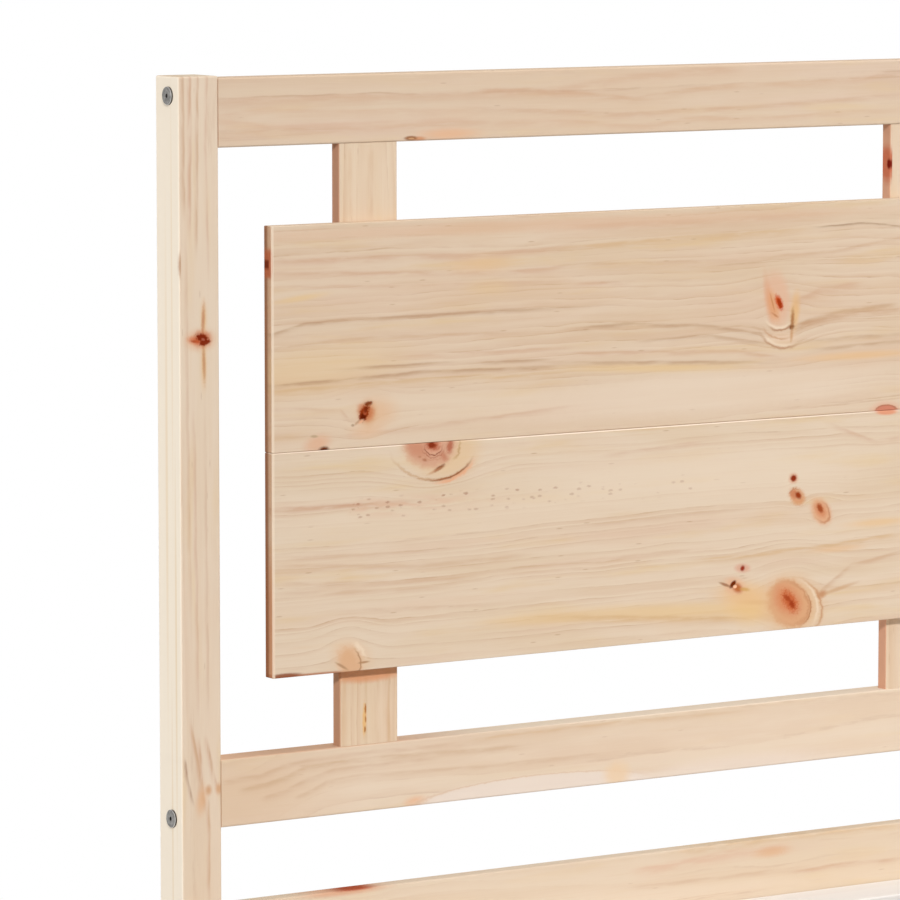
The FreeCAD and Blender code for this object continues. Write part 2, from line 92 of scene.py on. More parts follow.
class Tree:
    """Short names for the nodes that the materials are built from."""

    def __init__(self, tree):
        self.tree = tree

    def add(self, kind, **inputs):
        """A new node, with inputs fed by their names in small letters."""
        node = self.tree.nodes.new(kind)
        self.fill(node, inputs)
        return node

    def fill(self, node, inputs):
        for label, item in inputs.items():
            feed(self.tree, node.inputs[label.replace("_", " ").title()], item)

    def value(self, socket):
        return Value(self.tree, socket)

    def vector(self, x, y, z):
        node = self.add("ShaderNodeCombineXYZ")
        for slot, item in enumerate((x, y, z)):
            feed(self.tree, node.inputs[slot], item)
        return self.value(node.outputs[0])

    def noise(self, x, y, z, detail=2.0, roughness=0.5):
        """Noise from -0.5 to 0.5 about."""
        node = self.add("ShaderNodeTexNoise", vector=self.vector(x, y, z), scale=1.0, detail=detail,
                        roughness=roughness)
        return self.value(node.outputs["Fac"]) - 0.5

    def cells(self, x, y, z):
        """Distance to the nearest of many scattered points, and that point's own chance from 0 to 1."""
        node = self.add("ShaderNodeTexVoronoi", vector=self.vector(x, y, z), scale=1.0)
        chance = self.split(node.outputs["Color"], "ShaderNodeSeparateColor")[0]
        return self.value(node.outputs["Distance"]), chance

    def mix(self, share, first, second):
        node = self.add("ShaderNodeMix")
        node.data_type = "RGBA"
        for slot, item in {0: share, 6: first, 7: second}.items():
            feed(self.tree, node.inputs[slot], item)
        return self.value(node.outputs[2])

    def split(self, vector, kind="ShaderNodeSeparateXYZ"):
        """The three parts of a vector or a colour."""
        node = self.add(kind)
        self.tree.links.new(vector, node.inputs[0])
        return [self.value(socket) for socket in node.outputs[:3]]

    def place(self):
        """The shaded point in the object's own metres."""
        return self.split(self.add("ShaderNodeTexCoord").outputs["Object"])

    def lean(self):
        """How far the face looks along each axis, as a size from 0 to 1."""
        parts = self.split(self.add("ShaderNodeNewGeometry").outputs["True Normal"])
        return {letter: part.maths("ABSOLUTE") for letter, part in zip("xyz", parts)}

    def use(self, group, **inputs):
        """The outputs of a node group, its inputs fed by their names in small letters."""
        node = self.add("ShaderNodeGroup")
        node.node_tree = group
        self.fill(node, inputs)
        return [self.value(socket) for socket in node.outputs]

    def blend(self, share, first, second):
        """Two shaders mixed, the second by the share."""
        node = self.add("ShaderNodeMixShader")
        feed(self.tree, node.inputs[0], share)
        self.tree.links.new(first.outputs[0], node.inputs[1])
        self.tree.links.new(second.outputs[0], node.inputs[2])
        return node

    def end(self, kind, shader):
        """The output node, fed with the shader."""
        self.tree.links.new(shader.outputs[0], self.add(kind).inputs["Surface"])

    def finish(self, colour, roughness, relief, bump, metallic=0.0, gloss=0.5):
        """The surface shader and its relief; bump is the relief's strength and its height in millimetres."""
        shader = self.add("ShaderNodeBsdfPrincipled", base_color=colour, roughness=roughness,
                          metallic=metallic)
        shader.inputs["Specular IOR Level"].default_value = gloss
        strength, distance = bump
        node = self.add("ShaderNodeBump", strength=strength, distance=distance * MM, height=relief)
        self.tree.links.new(node.outputs[0], shader.inputs["Normal"])
        self.end("ShaderNodeOutputMaterial", shader)


def start_material(name):
    """A new material without nodes, and its tree."""
    material = bpy.data.materials.new(name)
    material.use_nodes = True
    material.node_tree.nodes.clear()
    return material, Tree(material.node_tree)


def start_group(name, labels):
    """A new node group with number inputs, and those inputs as values."""
    tree = bpy.data.node_groups.new(name, "ShaderNodeTree")
    for label in labels:
        tree.interface.new_socket(name=label.replace("_", " ").title(), in_out="INPUT",
                                  socket_type="NodeSocketFloat")
    t = Tree(tree)
    source = t.add("NodeGroupInput")
    return t, [t.value(source.outputs[slot]) for slot in range(len(labels))]


def end_group(t, **outputs):
    """Close a node group with its outputs, a colour where the name is colour and numbers elsewhere."""
    for label in outputs:
        kind = "NodeSocketColor" if label == "colour" else "NodeSocketFloat"
        t.tree.interface.new_socket(name=label.title(), in_out="OUTPUT", socket_type=kind)
    sink = t.add("NodeGroupOutput")
    for slot, item in enumerate(outputs.values()):
        t.tree.links.new(item.socket, sink.inputs[slot])
    return t.tree


# Tones of the planks, as they look on a screen

PALE = linear(224, 207, 187)
BASE = linear(217, 196, 170)
WARM = linear(213, 185, 153)
PINK = linear(217, 191, 168)
HONEY = linear(218, 191, 148)
LATE = linear(204, 171, 141)
LATE_DARK = linear(182, 142, 111)
TICK = linear(170, 128, 96)
# A painted sheen for side faces that are lit, paler than the wood
SHEEN_CHEEK = linear(238, 226, 208)
# A painted shade for side faces that are shaded, darker than the wood
SHADE_CHEEK = linear(208, 158, 130)
END = linear(212, 164, 128)
POST_END = linear(222, 208, 184)
STAIN = linear(212, 164, 134)
SPECK = linear(160, 104, 78)


def make_wood():
    """Planed pine before its knots: growth rings round a heart line, broad tones, fibres and ticks.

    Lengths are in millimetres, and a number that divides a place in a noise is the size of its patches.
    Heart is the tree's middle across the width and the thickness, ring_width the mean width of a ring, and
    wander scales how much the grain strays. Push is what the knots add.
    """
    t, values = start_group("planed_pine", (
        "along", "across", "depth", "push", "seed",
        "heart_across", "heart_depth", "ring_width", "wander", "tone", "contrast"))
    along, across, depth, push, seed = values[:5]
    heart_across, heart_depth, ring_width, wander, tone, contrast = values[5:]

    # Slow wander of the grain
    drift = t.noise(along / 420, across / 150 + seed, depth / 150, 1.0) * 26
    sway = t.noise(along / 130, across / 42 + seed, depth / 60 + seed, 2.0) * 9
    tremble = t.noise(along / 34, across / 9, depth / 20 + seed, 3.0) * 2.4
    off_across = across + (drift + sway + tremble) * wander + push - heart_across
    off_depth = depth - heart_depth

    # Growth rings, pale in spring and warmer up to a fine broken line in late summer
    radius = (off_across * off_across + off_depth * off_depth).maths("SQRT")
    uneven = t.noise(radius / 15 + seed * 3.1, along / 2600, 0.0, 2.0) * 30
    fibre = t.noise(along / 38, across / 0.9, depth / 0.9 + seed, 3.0, 0.6)
    ring = (radius + uneven + fibre * 1.6) / ring_width + seed * 7.3
    part = ring.maths("FRACT")
    weight = t.noise(ring.maths("FLOOR") * 0.73 + seed, along / 700, across / 200, 2.0) + 0.5
    patchy = t.noise(along / 90, across / 16 + seed, depth / 16, 3.0) + 0.5
    broken = t.noise(along / 46, across / 7 + seed, depth / 7, 3.0, 0.6) + 0.5
    rise = part.step(0.1, 0.95)
    drop = part.step(1.0, 0.94)
    late = rise * drop * weight.step(0.3, 0.7) * patchy.step(0.2, 0.6)
    line = part.step(0.84, 0.95) * drop * weight.step(0.35, 0.6) * broken.step(0.42, 0.62)

    # Broad tones, with honey clouds and fine streaks that run a hand's width
    cloud = t.noise(along / 260, across / 38 + seed * 2, depth / 60, 3.0)
    blush = t.noise(along / 330 + 9.7, across / 26, depth / 50 + seed, 3.0)
    honey = t.noise(along / 150 + 3.1, across / 17 + seed, depth / 40, 3.0)
    streak = t.noise(along / 120, across / 2.6 + seed, depth / 2.6, 2.0)
    colour = t.mix((cloud * 2.4 + tone + 0.45).step(0.0, 1.0), PALE, BASE)
    colour = t.mix((blush * 3.0 + tone + 0.1).step(0.0, 1.0) * 0.8, colour, PINK)
    colour = t.mix((cloud * -3.0 + tone + 0.1).step(0.0, 1.0) * 0.7, colour, WARM)
    colour = t.mix(honey.step(0.03, 0.3) * 0.75, colour, HONEY)
    colour = t.mix((streak * contrast).step(0.02, 0.3) * 0.45, colour, WARM)
    colour = t.mix(late * contrast * 0.7, colour, LATE)
    colour = t.mix(line * contrast * 0.55, colour, LATE_DARK)

    # Fibres, and the short dark ticks of resin ducts
    colour = t.mix(fibre.step(0.02, 0.3) * 0.22, colour, LATE)
    colour = t.mix(fibre.step(-0.02, -0.3) * 0.25, colour, PALE)
    gap, chance = t.cells(along / 34, across / 5.5, depth / 5.5 + seed)
    tick = gap.step(0.17, 0.05) * chance.step(0.80, 0.84)
    colour = t.mix(tick * 0.4, colour, TICK)
    return end_group(t, colour=colour, late=late, fibre=fibre, tick=tick)


PLACE_LABELS = ("along", "across", "at_along", "at_across", "length", "width")


def turned(along, across, at_along, at_across, length, width, cosine, sine):
    """Where a point lies in a turned ellipse, as shares of its half length and half width."""
    off_along = along - at_along
    off_across = across - at_across
    on_length = (off_along * cosine + off_across * sine) / length
    on_width = (off_across * cosine - off_along * sine) / width
    return on_length, on_width


def make_blot():
    """Cover of a soft ellipse with a ragged edge; soft is the share of its radius over which it fades."""
    t, values = start_group("blot", (*PLACE_LABELS, "cosine", "sine", "rough", "soft", "ragged", "strength"))
    rough, soft, ragged, strength = values[8:]
    on_length, on_width = turned(*values[:8])
    away = (on_length * on_length + on_width * on_width).maths("SQRT") + rough * ragged
    node = t.add("ShaderNodeMapRange", value=away, from_min=soft * -1.0 + 1.0, from_max=soft + 1.0,
                 to_min=1.0, to_max=0.0)
    node.interpolation_type = "SMOOTHSTEP"
    return end_group(t, cover=t.value(node.outputs["Result"]) * strength)


def make_stroke():
    """Cover of an arc of an ellipse; thick is its half thickness as a share of the radius."""
    t, values = start_group("stroke", (
        *PLACE_LABELS, "cosine", "sine", "rough", "thick", "ragged", "middle_x", "middle_y", "spread",
        "strength"))
    rough, thick, ragged, middle_x, middle_y, spread, strength = values[8:]
    on_length, on_width = turned(*values[:8])
    away = (on_length * on_length + on_width * on_width).maths("SQRT").maths("MAXIMUM", 0.01)
    near = ((away + rough * ragged - 1.0) / thick).bell()
    turn = (on_length * middle_x + on_width * middle_y) / away
    return end_group(t, cover=near * ((turn - 1.0) / spread).bell() * strength)


def make_bend():
    """The push of a knot on the grain: lines spread apart round it."""
    t, values = start_group("bend", (*PLACE_LABELS, "strength"))
    along, across, at_along, at_across, length, width, strength = values
    off_along = (along - at_along) / length
    off_across = (across - at_across) / width
    fall = ((off_along * off_along + off_across * off_across) * -1.0).maths("EXPONENT")
    return end_group(t, push=(at_across - across) * fall * strength)


def make_line():
    """Cover of a straight stretch of a grain line, sharp on its upper side and softer below."""
    t, values = start_group("line", (*PLACE_LABELS, "slope", "strength"))
    along, across, at_along, at_across, length, width, slope, strength = values
    off_along = along - at_along
    off = (across - at_across - off_along * slope) / width
    soft = off.maths("MAXIMUM", 0.0) + off.maths("MINIMUM", 0.0) * 0.4
    reach = off_along / length
    return end_group(t, cover=soft.bell() * (reach * reach).bell() * strength)


WOOD, BLOT, STROKE, BEND, LINE = make_wood(), make_blot(), make_stroke(), make_bend(), make_line()


# Marks on a plank, their places and half sizes in millimetres and their angles in degrees

def mark(group, tone=None, side=False, sunk=None, **numbers):
    """A mark as its node group, colour and the numbers that its group takes.

    side lays it on the plank's narrow faces, and sunk is the middle and half thickness of what it fills.
    """
    return {"group": group, "tone": tone, "side": side, "sunk": sunk, "numbers": numbers}


def tilted(tilt):
    """What the groups of turned ellipses take for an angle."""
    angle = math.radians(tilt)
    return {"cosine": math.cos(angle), "sine": math.sin(angle)}


def blot(tone, along, across, length, width, tilt=0, soft=0.5, cover=0.8, ragged=0.25, **more):
    """A patch with its colour, middle, half sizes and tilt."""
    return mark(BLOT, tone, at_along=along, at_across=across, length=length, width=width, soft=soft,
                ragged=ragged, strength=cover, **tilted(tilt), **more)


def haze(tone, along, across, length, width, tilt=0, cover=0.7, **more):
    """A patch with a very soft edge."""
    return blot(tone, along, across, length, width, tilt, 0.8, cover, **more)


def stroke(tone, along, across, length, width, tilt=0, arc=(0, 60), thick=0.05, cover=0.7, ragged=0.15):
    """An arc drawn along an ellipse, given by its middle and half its span as angles on it."""
    middle, half = (math.radians(angle) for angle in arc)
    return mark(STROKE, tone, at_along=along, at_across=across, length=length, width=width, thick=thick,
                ragged=ragged, middle_x=math.cos(middle), middle_y=math.sin(middle),
                spread=1 - math.cos(half), strength=cover, **tilted(tilt))


def grain(tone, width, cover, *places):
    """A grain line through places on the plank, drawn as one straight stretch after another."""
    return [mark(LINE, tone, at_along=(along + next_along) / 2, at_across=(across + next_across) / 2,
                 length=(next_along - along) * 0.56, width=width * 1.3, strength=cover * 0.85,
                 slope=(next_across - across) / (next_along - along))
            for (along, across), (next_along, next_across) in zip(places, places[1:])]


def bend(along, across, length, width, strength=0.95):
    """A place that the grain runs round, over about this half length and half width."""
    return mark(BEND, at_along=along, at_across=across, length=length, width=width, strength=strength)


def around(along, across, marks, sunk=None):
    """Marks whose places are given from a middle; sunk goes to those that have none."""
    for item in marks:
        item["numbers"]["at_along"] += along
        item["numbers"]["at_across"] += across
        item["sunk"] = item["sunk"] or sunk
    return marks


# Colours of knots, as they look on a screen. A mark darker than DARK_SUM is also a small hole, one with a
# smaller half width than SMALL has a finer edge, and a row of specks fades in over SPECK_FADE

DARK_SUM = 300
SMALL = 9
SPECK_FADE = 25
BLACK_RED = (104, 30, 15)
RED = (188, 76, 44)
GLOW = (222, 176, 136)
CREAM = (236, 217, 194)
YELLOW = (222, 192, 146)
# A painted highlight for the rounded edge at the seam
SEAM_HIGHLIGHT = (250, 233, 214)

# Colours of grain lines

GREY_LINE = (180, 143, 112)
DARK_LINE = (146, 108, 80)
TAN_LINE = (199, 162, 132)
ROSE_LINE = (200, 158, 130)
AMBER_LINE = (204, 166, 120)
STAIN_LINE = (184, 126, 92)


def knots_push(t, along, across, marks):
    """How far the knots push the grain across the width."""
    total = 0.0
    for item in marks:
        if item["group"] is BEND:
            total = t.use(BEND, along=along, across=across, **item["numbers"])[0] + total
    return total


def with_specks(t, colour, along, across, depth, low, high, middle, spread):
    """The colour with a row of fine specks in a reddish stain, both weaker from low to high along the row."""
    ends = along.step(low, low + SPECK_FADE), along.step(high + SPECK_FADE, high)
    band = ((across - middle) / spread).bell() * ends[0] * ends[1]
    faded = (along - low) / (high - low)
    stain = t.noise(along / 34, across / 6, 4.0, 2.0).step(-0.15, 0.2) * band * faded.step(0.55, 0.2)
    gap, chance = t.cells(along / 10, across / 4.6, depth / 60)
    round_gap = gap + t.noise(along / 2.5, across / 2, 1.0, 2.0) * 0.3
    dot = round_gap.step(0.40, 0.16) * (chance - faded * 0.5).step(0.25, 0.31) * band.step(0.1, 0.45)
    return t.mix(dot * 0.75, t.mix(stain * 0.7, colour, STAIN), SPECK)


def with_marks(t, colour, along, across, depth, marks):
    """The colour with the marks laid on it in turn, and the holes that the darkest of them leave.

    Edges are ragged by a coarse noise or, on small marks, a fine one. Grain lines are slightly wavy and
    broken.
    """
    coarse = t.noise(along / 7, across / 5, depth / 40, 3.0, 0.6)
    fine = t.noise(along / 2.4, across / 2.0, depth / 20, 2.0, 0.6)
    if any(item["group"] is LINE for item in marks):
        wavy = across + t.noise(along / 32, across / 60, 7.0, 3.0) * 3.0
        broken = t.noise(along / 40, across / 6, 2.0, 3.0).step(-0.22, 0.12) * 0.75 + 0.25
    holes = 0.0
    for item in marks:
        group, numbers = item["group"], item["numbers"]
        if group is BEND:
            continue
        if group is LINE:
            cover = t.use(LINE, along=along, across=wavy, **numbers)[0] * broken
        else:
            cover = t.use(group, along=along, across=depth if item["side"] else across,
                          rough=fine if numbers["width"] < SMALL else coarse, **numbers)[0]
        if item["sunk"]:
            middle, half = item["sunk"]
            inwards = across if item["side"] else depth
            cover = cover * (inwards - middle).maths("ABSOLUTE").step(half, half * 0.7)
        colour = t.mix(cover, colour, linear(*item["tone"]))
        if sum(item["tone"]) < DARK_SUM:
            holes = cover + holes
    return colour, holes


def dress(node, material):
    """Give a CAD node one material on all its faces."""
    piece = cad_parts[node]
    piece.data.materials.clear()
    piece.data.materials.append(material)


WOOD_ROUGHNESS = 0.50
WOOD_BUMP = (0.22, 0.25)


def plank(node, axes, seed, heart, rings=4.0, wander=1.0, tone=0.0, contrast=1.0, marks=(), climb=None,
          specks=None, cheek_light_and_shade=None, wash=None, end=END, kind="pine"):
    """Dress a node as a planed plank with its knots and marks.

    axes names the axes of the plank's length, width and thickness, and heart is the tree's middle on the
    last two. rings, wander, tone and contrast go to the wood. climb is the height that the grain climbs and
    where along the plank it does so. specks is a row's start, end, middle and spread. cheeks is the axis and
    colour of painted light and shade on two opposite faces, a paler sheen for lit faces and a darker shade
    for shaded ones, and wash a colour that is mixed into the whole plank, with its share. end is the colour
    of the sawn ends. The wood is matt.
    """
    material, t = start_material(kind + "_" + node)
    places = dict(zip("xyz", (part / MM for part in t.place())))
    along, across, depth = (places[letter] for letter in axes)
    push = knots_push(t, along, across, marks)
    if climb:
        height, low, high = climb
        push = along.step(low, high) * -height + push
    colour, late, fibre, tick = t.use(
        WOOD, along=along, across=across, depth=depth, push=push, seed=seed, heart_across=heart[0],
        heart_depth=heart[1], ring_width=rings, wander=wander, tone=tone, contrast=contrast)
    if wash:
        shade, share = wash
        colour = t.mix(share, colour, linear(*shade))
    if specks:
        colour = with_specks(t, colour, along, across, depth, *specks)

    # Painted light and shade on two opposite faces, a paler sheen where lit and a darker shade where shaded,
    # and sawn ends, which drink more oil and show darker
    lean = t.lean()
    if cheek_light_and_shade:
        letter, shade = cheek_light_and_shade
        colour = t.mix(lean[letter].step(0.5, 0.9), colour, shade)
    pores = t.noise(along / 3, across / 1.4, depth / 1.4, 3.0, 0.7)
    colour = t.mix(lean[axes[0]].step(0.75, 0.98) * (pores + 0.62), colour, end)

    colour, holes = with_marks(t, colour, along, across, depth, marks)
    roughness = late * -0.07 + fibre * 0.10 + WOOD_ROUGHNESS
    relief = late * 0.25 + fibre * 0.3 + tick * -0.35 - holes
    t.finish(colour, roughness, relief, WOOD_BUMP, gloss=0.0)
    dress(node, material)


def red_knot(along, across, size, tilt):
    """A sound red knot with its halo, its rings and the grain that runs round it."""
    length, width = size * 1.2, size
    return around(along, across, [
        bend(0, 0, size * 2.6, size * 2.0),
        blot(GLOW, 0, 0, length * 1.5, width * 1.4, tilt, soft=0.6, cover=0.6),
        blot((219, 166, 126), 0, 0, length, width, tilt, soft=0.15, cover=0.75, ragged=0.12),
        stroke((184, 124, 86), 0, 0, length, width, tilt, arc=(20, 100), thick=0.07),
        stroke((196, 136, 98), 0, 0, length * 0.66, width * 0.66, tilt, arc=(150, 110), thick=0.08,
               cover=0.6),
        blot((224, 148, 108), 0, 0, length * 0.55, width * 0.5, tilt, cover=0.7),
        blot(RED, 0, 0, length * 0.34, width * 0.24, tilt - 20, soft=0.6, cover=0.95, ragged=0.9),
    ])


def dark_knot(along, across, size, tilt):
    """A small dead knot, black-red with an orange glow on one side."""
    length, width = size * 1.3, size
    return around(along, across, [
        bend(0, 0, size * 3.2, size * 2.2, 0.8),
        blot(GLOW, size * 0.8, 0, length * 1.9, width * 1.8, tilt, soft=0.7, cover=0.6),
        blot((206, 138, 98), 0, 0, length * 1.25, width * 1.2, tilt, cover=0.7),
        blot(BLACK_RED, 0, 0, length, width, tilt, soft=0.3, cover=1, ragged=0.7),
        blot((140, 56, 32), 0, -size * 0.1, length * 0.5, width * 0.5, tilt, ragged=0.8),
    ])


def pale_knot(along, across, size, tilt):
    """A knot that barely differs from the wood, with a thin dark edge on one side."""
    length, width = size * 1.1, size
    return around(along, across, [
        bend(0, 0, size * 2.4, size * 1.9, 0.9),
        blot((217, 173, 134), 0, 0, length, width, tilt, soft=0.25, cover=0.75),
        stroke((176, 130, 94), 0, 0, length * 1.05, width * 1.05, tilt, arc=(30, 60), thick=0.06, cover=0.75),
        stroke(CREAM, 0, 0, length * 1.3, width * 1.3, tilt, arc=(40, 35), thick=0.07, cover=0.6),
    ])


ZINC_ROUGHNESS = 0.36
ZINC_BUMP = (0.15, 0.1)
BRUSH_LENGTH, BRUSH_WIDTH = 20, 0.25


def zinc(node, seed, run):
    """Dress a node as zinc-plated steel, brushed faintly along the axis run, with a mottled bloom."""
    material, t = start_material("zinc_" + node)
    x, y, z = (part / MM for part in t.place())
    bloom = t.noise(x / 3.5 + seed, y / 3.5, z / 3.5, 3.0, 0.6)
    sizes = (BRUSH_LENGTH if letter == run else BRUSH_WIDTH for letter in "xyz")
    brushed = t.noise(*(part / size for part, size in zip((x, y, z), sizes)), 2.0)
    colour = t.mix((bloom * 2.5 + 0.5).step(0.0, 1.0), linear(96, 94, 91), linear(144, 142, 139))
    colour = t.mix(brushed.step(0.0, 0.4) * 0.35, colour, linear(92, 89, 85))

    # Painted shade darkens the flanks against the faces across the axis, and a painted highlight brightens
    # the edges between them
    lean = t.lean()[run]
    colour = t.mix(lean.step(0.6, 0.1) * 0.75, colour, linear(74, 70, 66))
    colour = t.mix(((lean - 0.72) / 0.2).bell() * 0.7, colour, linear(206, 204, 200))
    t.finish(colour, bloom * 0.25 + ZINC_ROUGHNESS, brushed + bloom, ZINC_BUMP, metallic=1.0)
    dress(node, material)


# The planks that the photograph shows

POST_FRONT = face("head_post_left", "y", 0)
FRONT, HALF_DEEP, DEEP = (POST_FRONT, 4), (POST_FRONT, 10), (POST_FRONT, 14)
LEFT_CHEEK = (face("head_post_left", "x", 0), 4)

# Post: the red knot with its spikes along the grain

POST_KNOT = around(836, -901, [
    bend(0, 0, 34, 20, 0.9),
    blot((216, 158, 114), 0, -2.7, 9, 14, soft=0.7, cover=0.75, sunk=DEEP),
    haze((222, 184, 136), 21, 1.4, 15, 3.2),
    haze((222, 184, 136), -25, 1.2, 20, 3.2),
    haze((192, 134, 96), 20, 0.8, 14, 1.8, 3, cover=0.8, ragged=0.8),
    haze((190, 134, 92), -23, 1.4, 17, 1.6, -2, cover=0.75, ragged=0.8),
    blot((208, 120, 80), 0, -10, 3.4, 7, 10, soft=0.7, ragged=0.8, sunk=HALF_DEEP),
    blot((158, 66, 36), -1.2, -8.5, 1.3, 4.8, 6, soft=0.6, ragged=0.8, sunk=HALF_DEEP),
    blot((190, 86, 48), 0.8, -0.6, 7.4, 9, soft=0.6, ragged=0.9, sunk=DEEP),
    blot((120, 32, 8), 2.4, -0.8, 3.6, 7.2, 14, soft=0.35, cover=0.95, ragged=1, sunk=DEEP),
    blot((124, 36, 10), -2.6, 2.4, 2.9, 6.2, -12, soft=0.35, cover=0.95, ragged=1, sunk=DEEP),
    blot((176, 98, 76), 0.4, 0.6, 1.2, 2, 18, soft=0.6, ragged=0.6),
], sunk=FRONT)

# The post's side faces carry a painted sheen, paler than its front
plank("head_post_left", "zxy", 0.31, (-890, 1120), rings=3.4, wander=0.35, contrast=0.8, cheek_light_and_shade=("x", SHEEN_CHEEK),
      end=POST_END, wash=((232, 214, 194), 0.35), marks=[
    # Vertical grain over the knot, and lines that fan out to the right near the bottom
    *grain(TAN_LINE, 0.9, 0.85, (1111, -922), (1037, -922), (971, -921)),
    *grain(ROSE_LINE, 1, 0.8, (1111, -914), (1026, -914), (951, -915)),
    *grain(TAN_LINE, 0.8, 0.85, (1111, -905), (1016, -906), (935, -907)),
    *grain(ROSE_LINE, 0.7, 0.5, (1111, -894), (1026, -896), (914, -894)),
    *grain(TAN_LINE, 0.8, 0.5, (915, -919), (753, -918), (571, -916)),
    *grain(ROSE_LINE, 0.8, 0.5, (753, -911), (611, -909), (470, -908)),
    *grain(TAN_LINE, 0.7, 0.5, (742, -898), (570, -897), (468, -896)),
    *grain((156, 112, 88), 0.7, 0.9, (410, -924), (392, -921), (368, -915)),
    *grain((196, 152, 118), 1, 0.8, (442, -915), (401, -908), (369, -905)),
    *grain((196, 150, 118), 1, 0.8, (429, -907), (396, -905), (362, -901)),
    *grain((192, 148, 116), 1, 0.8, (430, -898), (405, -893), (382, -887)),
    *grain((198, 156, 122), 0.9, 0.7, (367, -897), (337, -896), (271, -896)),
    *POST_KNOT,
    # A streak, and the faint knots at the right edge
    blot((168, 122, 90), 912, -926.6, 11, 0.9, soft=0.6, cover=0.7, sunk=FRONT),
    haze((218, 172, 132), 368, -905, 13, 5, 8, sunk=FRONT),
    haze((204, 154, 114), 378, -896.6, 4.6, 3.2, cover=0.8, sunk=FRONT),
    haze((206, 156, 116), 378.4, -884.8, 5, 3.4, cover=0.8, sunk=FRONT),
    # Fine lines down the outer face
    haze((226, 204, 170), 520, 1013, 150, 1.6, side=True, sunk=LEFT_CHEEK),
    haze((228, 206, 174), 700, 1030, 190, 2.2, cover=0.6, side=True, sunk=LEFT_CHEEK),
    haze((230, 210, 180), 880, 1018, 160, 1.4, cover=0.6, side=True, sunk=LEFT_CHEEK),
    haze((226, 204, 172), 330, 1022, 120, 1.4, cover=0.6, side=True, sunk=LEFT_CHEEK),
])
plank("head_top_rail", "xzy", 0.57, (1040, 1120), rings=9.0, wander=0.9, tone=0.4, contrast=1.1,
      wash=((222, 204, 188), 0.25), marks=[
    *grain((204, 166, 138), 2.2, 0.5, (-883, 1075), (-787, 1075), (-691, 1075), (-575, 1076), (-468, 1077),
           (-375, 1088), (-301, 1092), (-242, 1094)),
    *grain((208, 170, 142), 1.8, 0.45, (-883, 1060), (-831, 1065), (-751, 1061), (-667, 1060), (-575, 1056)),
    *grain((208, 168, 140), 1.8, 0.45, (-883, 1056), (-822, 1047), (-727, 1048), (-575, 1048)),
    *grain((206, 168, 140), 1.8, 0.45, (-883, 1041), (-787, 1043), (-667, 1043), (-575, 1045), (-468, 1043)),
    *grain((202, 162, 132), 1.4, 0.6, (-568, 1078), (-506, 1077), (-430, 1071), (-373, 1065), (-301, 1073),
           (-242, 1076)),
    *grain((200, 160, 132), 1.4, 0.55, (-575, 1060), (-468, 1054), (-392, 1049), (-301, 1051), (-242, 1052),
           (-33, 1060)),
    *grain((206, 168, 138), 1.5, 0.5, (-468, 1044), (-366, 1036), (-288, 1043), (-242, 1040), (-33, 1044)),
    *grain((206, 168, 138), 1.5, 0.5, (-242, 1076), (-155, 1076), (-33, 1081)),
    bend(-653, 1031, 22, 8, 0.8),
    haze((226, 176, 138), -607, 1034, 32, 5.2),
    blot((206, 140, 98), -644, 1030.3, 8, 2, soft=0.6),
    blot((150, 98, 62), -653.4, 1031.1, 7.3, 2.2, soft=0.4, cover=0.9),
    blot((206, 158, 116), -652.6, 1030.6, 3.4, 0.9, soft=0.4, cover=0.9),
])

BOARD_END = face("head_board_upper", "x", 0)
BOARD_FRONT, BOARD_BACK = face("head_board_upper", "y", 0), face("head_board_upper", "y", 1)
BOARD_FOOT = face("head_board_lower", "z", 0)
SEAM = (face("head_board_lower", "z", 1) + face("head_board_upper", "z", 0)) / 2
INNER, REAR = (BOARD_FRONT + 6.5, 9), (BOARD_FRONT + 10.5, 6)

# Upper board: the dark knot near the left end

DARK_KNOT = around(-719, 753, [
    bend(0, 0, 34, 26),
    haze((220, 178, 140), 15, 0, 20, 13, cover=0.65),
    blot((222, 184, 150), 3, -18, 16, 7, soft=0.9, cover=0.6),
    blot((208, 150, 104), 5, 0, 8.4, 11, soft=0.7, cover=0.75),
    blot((196, 116, 74), 1.5, 1, 8.2, 9.6, 64, cover=0.85, ragged=0.7),
    blot((142, 56, 22), 0.2, -0.2, 8.4, 5.2, 64, soft=0.3, cover=1, ragged=1.1),
    blot((96, 28, 6), -1.2, -3.6, 3.6, 3.2, 20, cover=1, ragged=1),
    blot((176, 84, 50), 1.1, 0.4, 1.8, 2.2, soft=0.6, cover=0.9, ragged=1),
    blot((116, 42, 16), 2.2, 3.6, 3.2, 2, 60, cover=0.9, ragged=1),
    blot((226, 176, 142), -3.8, -8.4, 3.6, 1.5, 30, soft=0.6, cover=0.9, ragged=0.8),
    blot((124, 58, 26), 5.4, 9.6, 4.8, 2.2, 10, cover=0.95, ragged=1),
    haze((172, 124, 92), -8, -9, 4, 1.3, 35, cover=0.6, ragged=0.9),
    blot((160, 130, 106), -13.7, -11.7, 1.8, 1.3, soft=0.6, cover=0.7),
])

# Upper board: the speck on the seam

SEAM_SPECK = around(-770, SEAM, [
    blot((217, 168, 136), -5, 7, 14, 7.5, 12, soft=0.7, cover=0.7),
    blot((104, 54, 32), 3, 0.6, 5.4, 2.8, soft=0.6, cover=1, ragged=0.5),
    blot((176, 152, 120), -8.7, 14.7, 4, 1.3, -4, soft=0.6, cover=0.7),
])

# Upper board: the double knot at the right

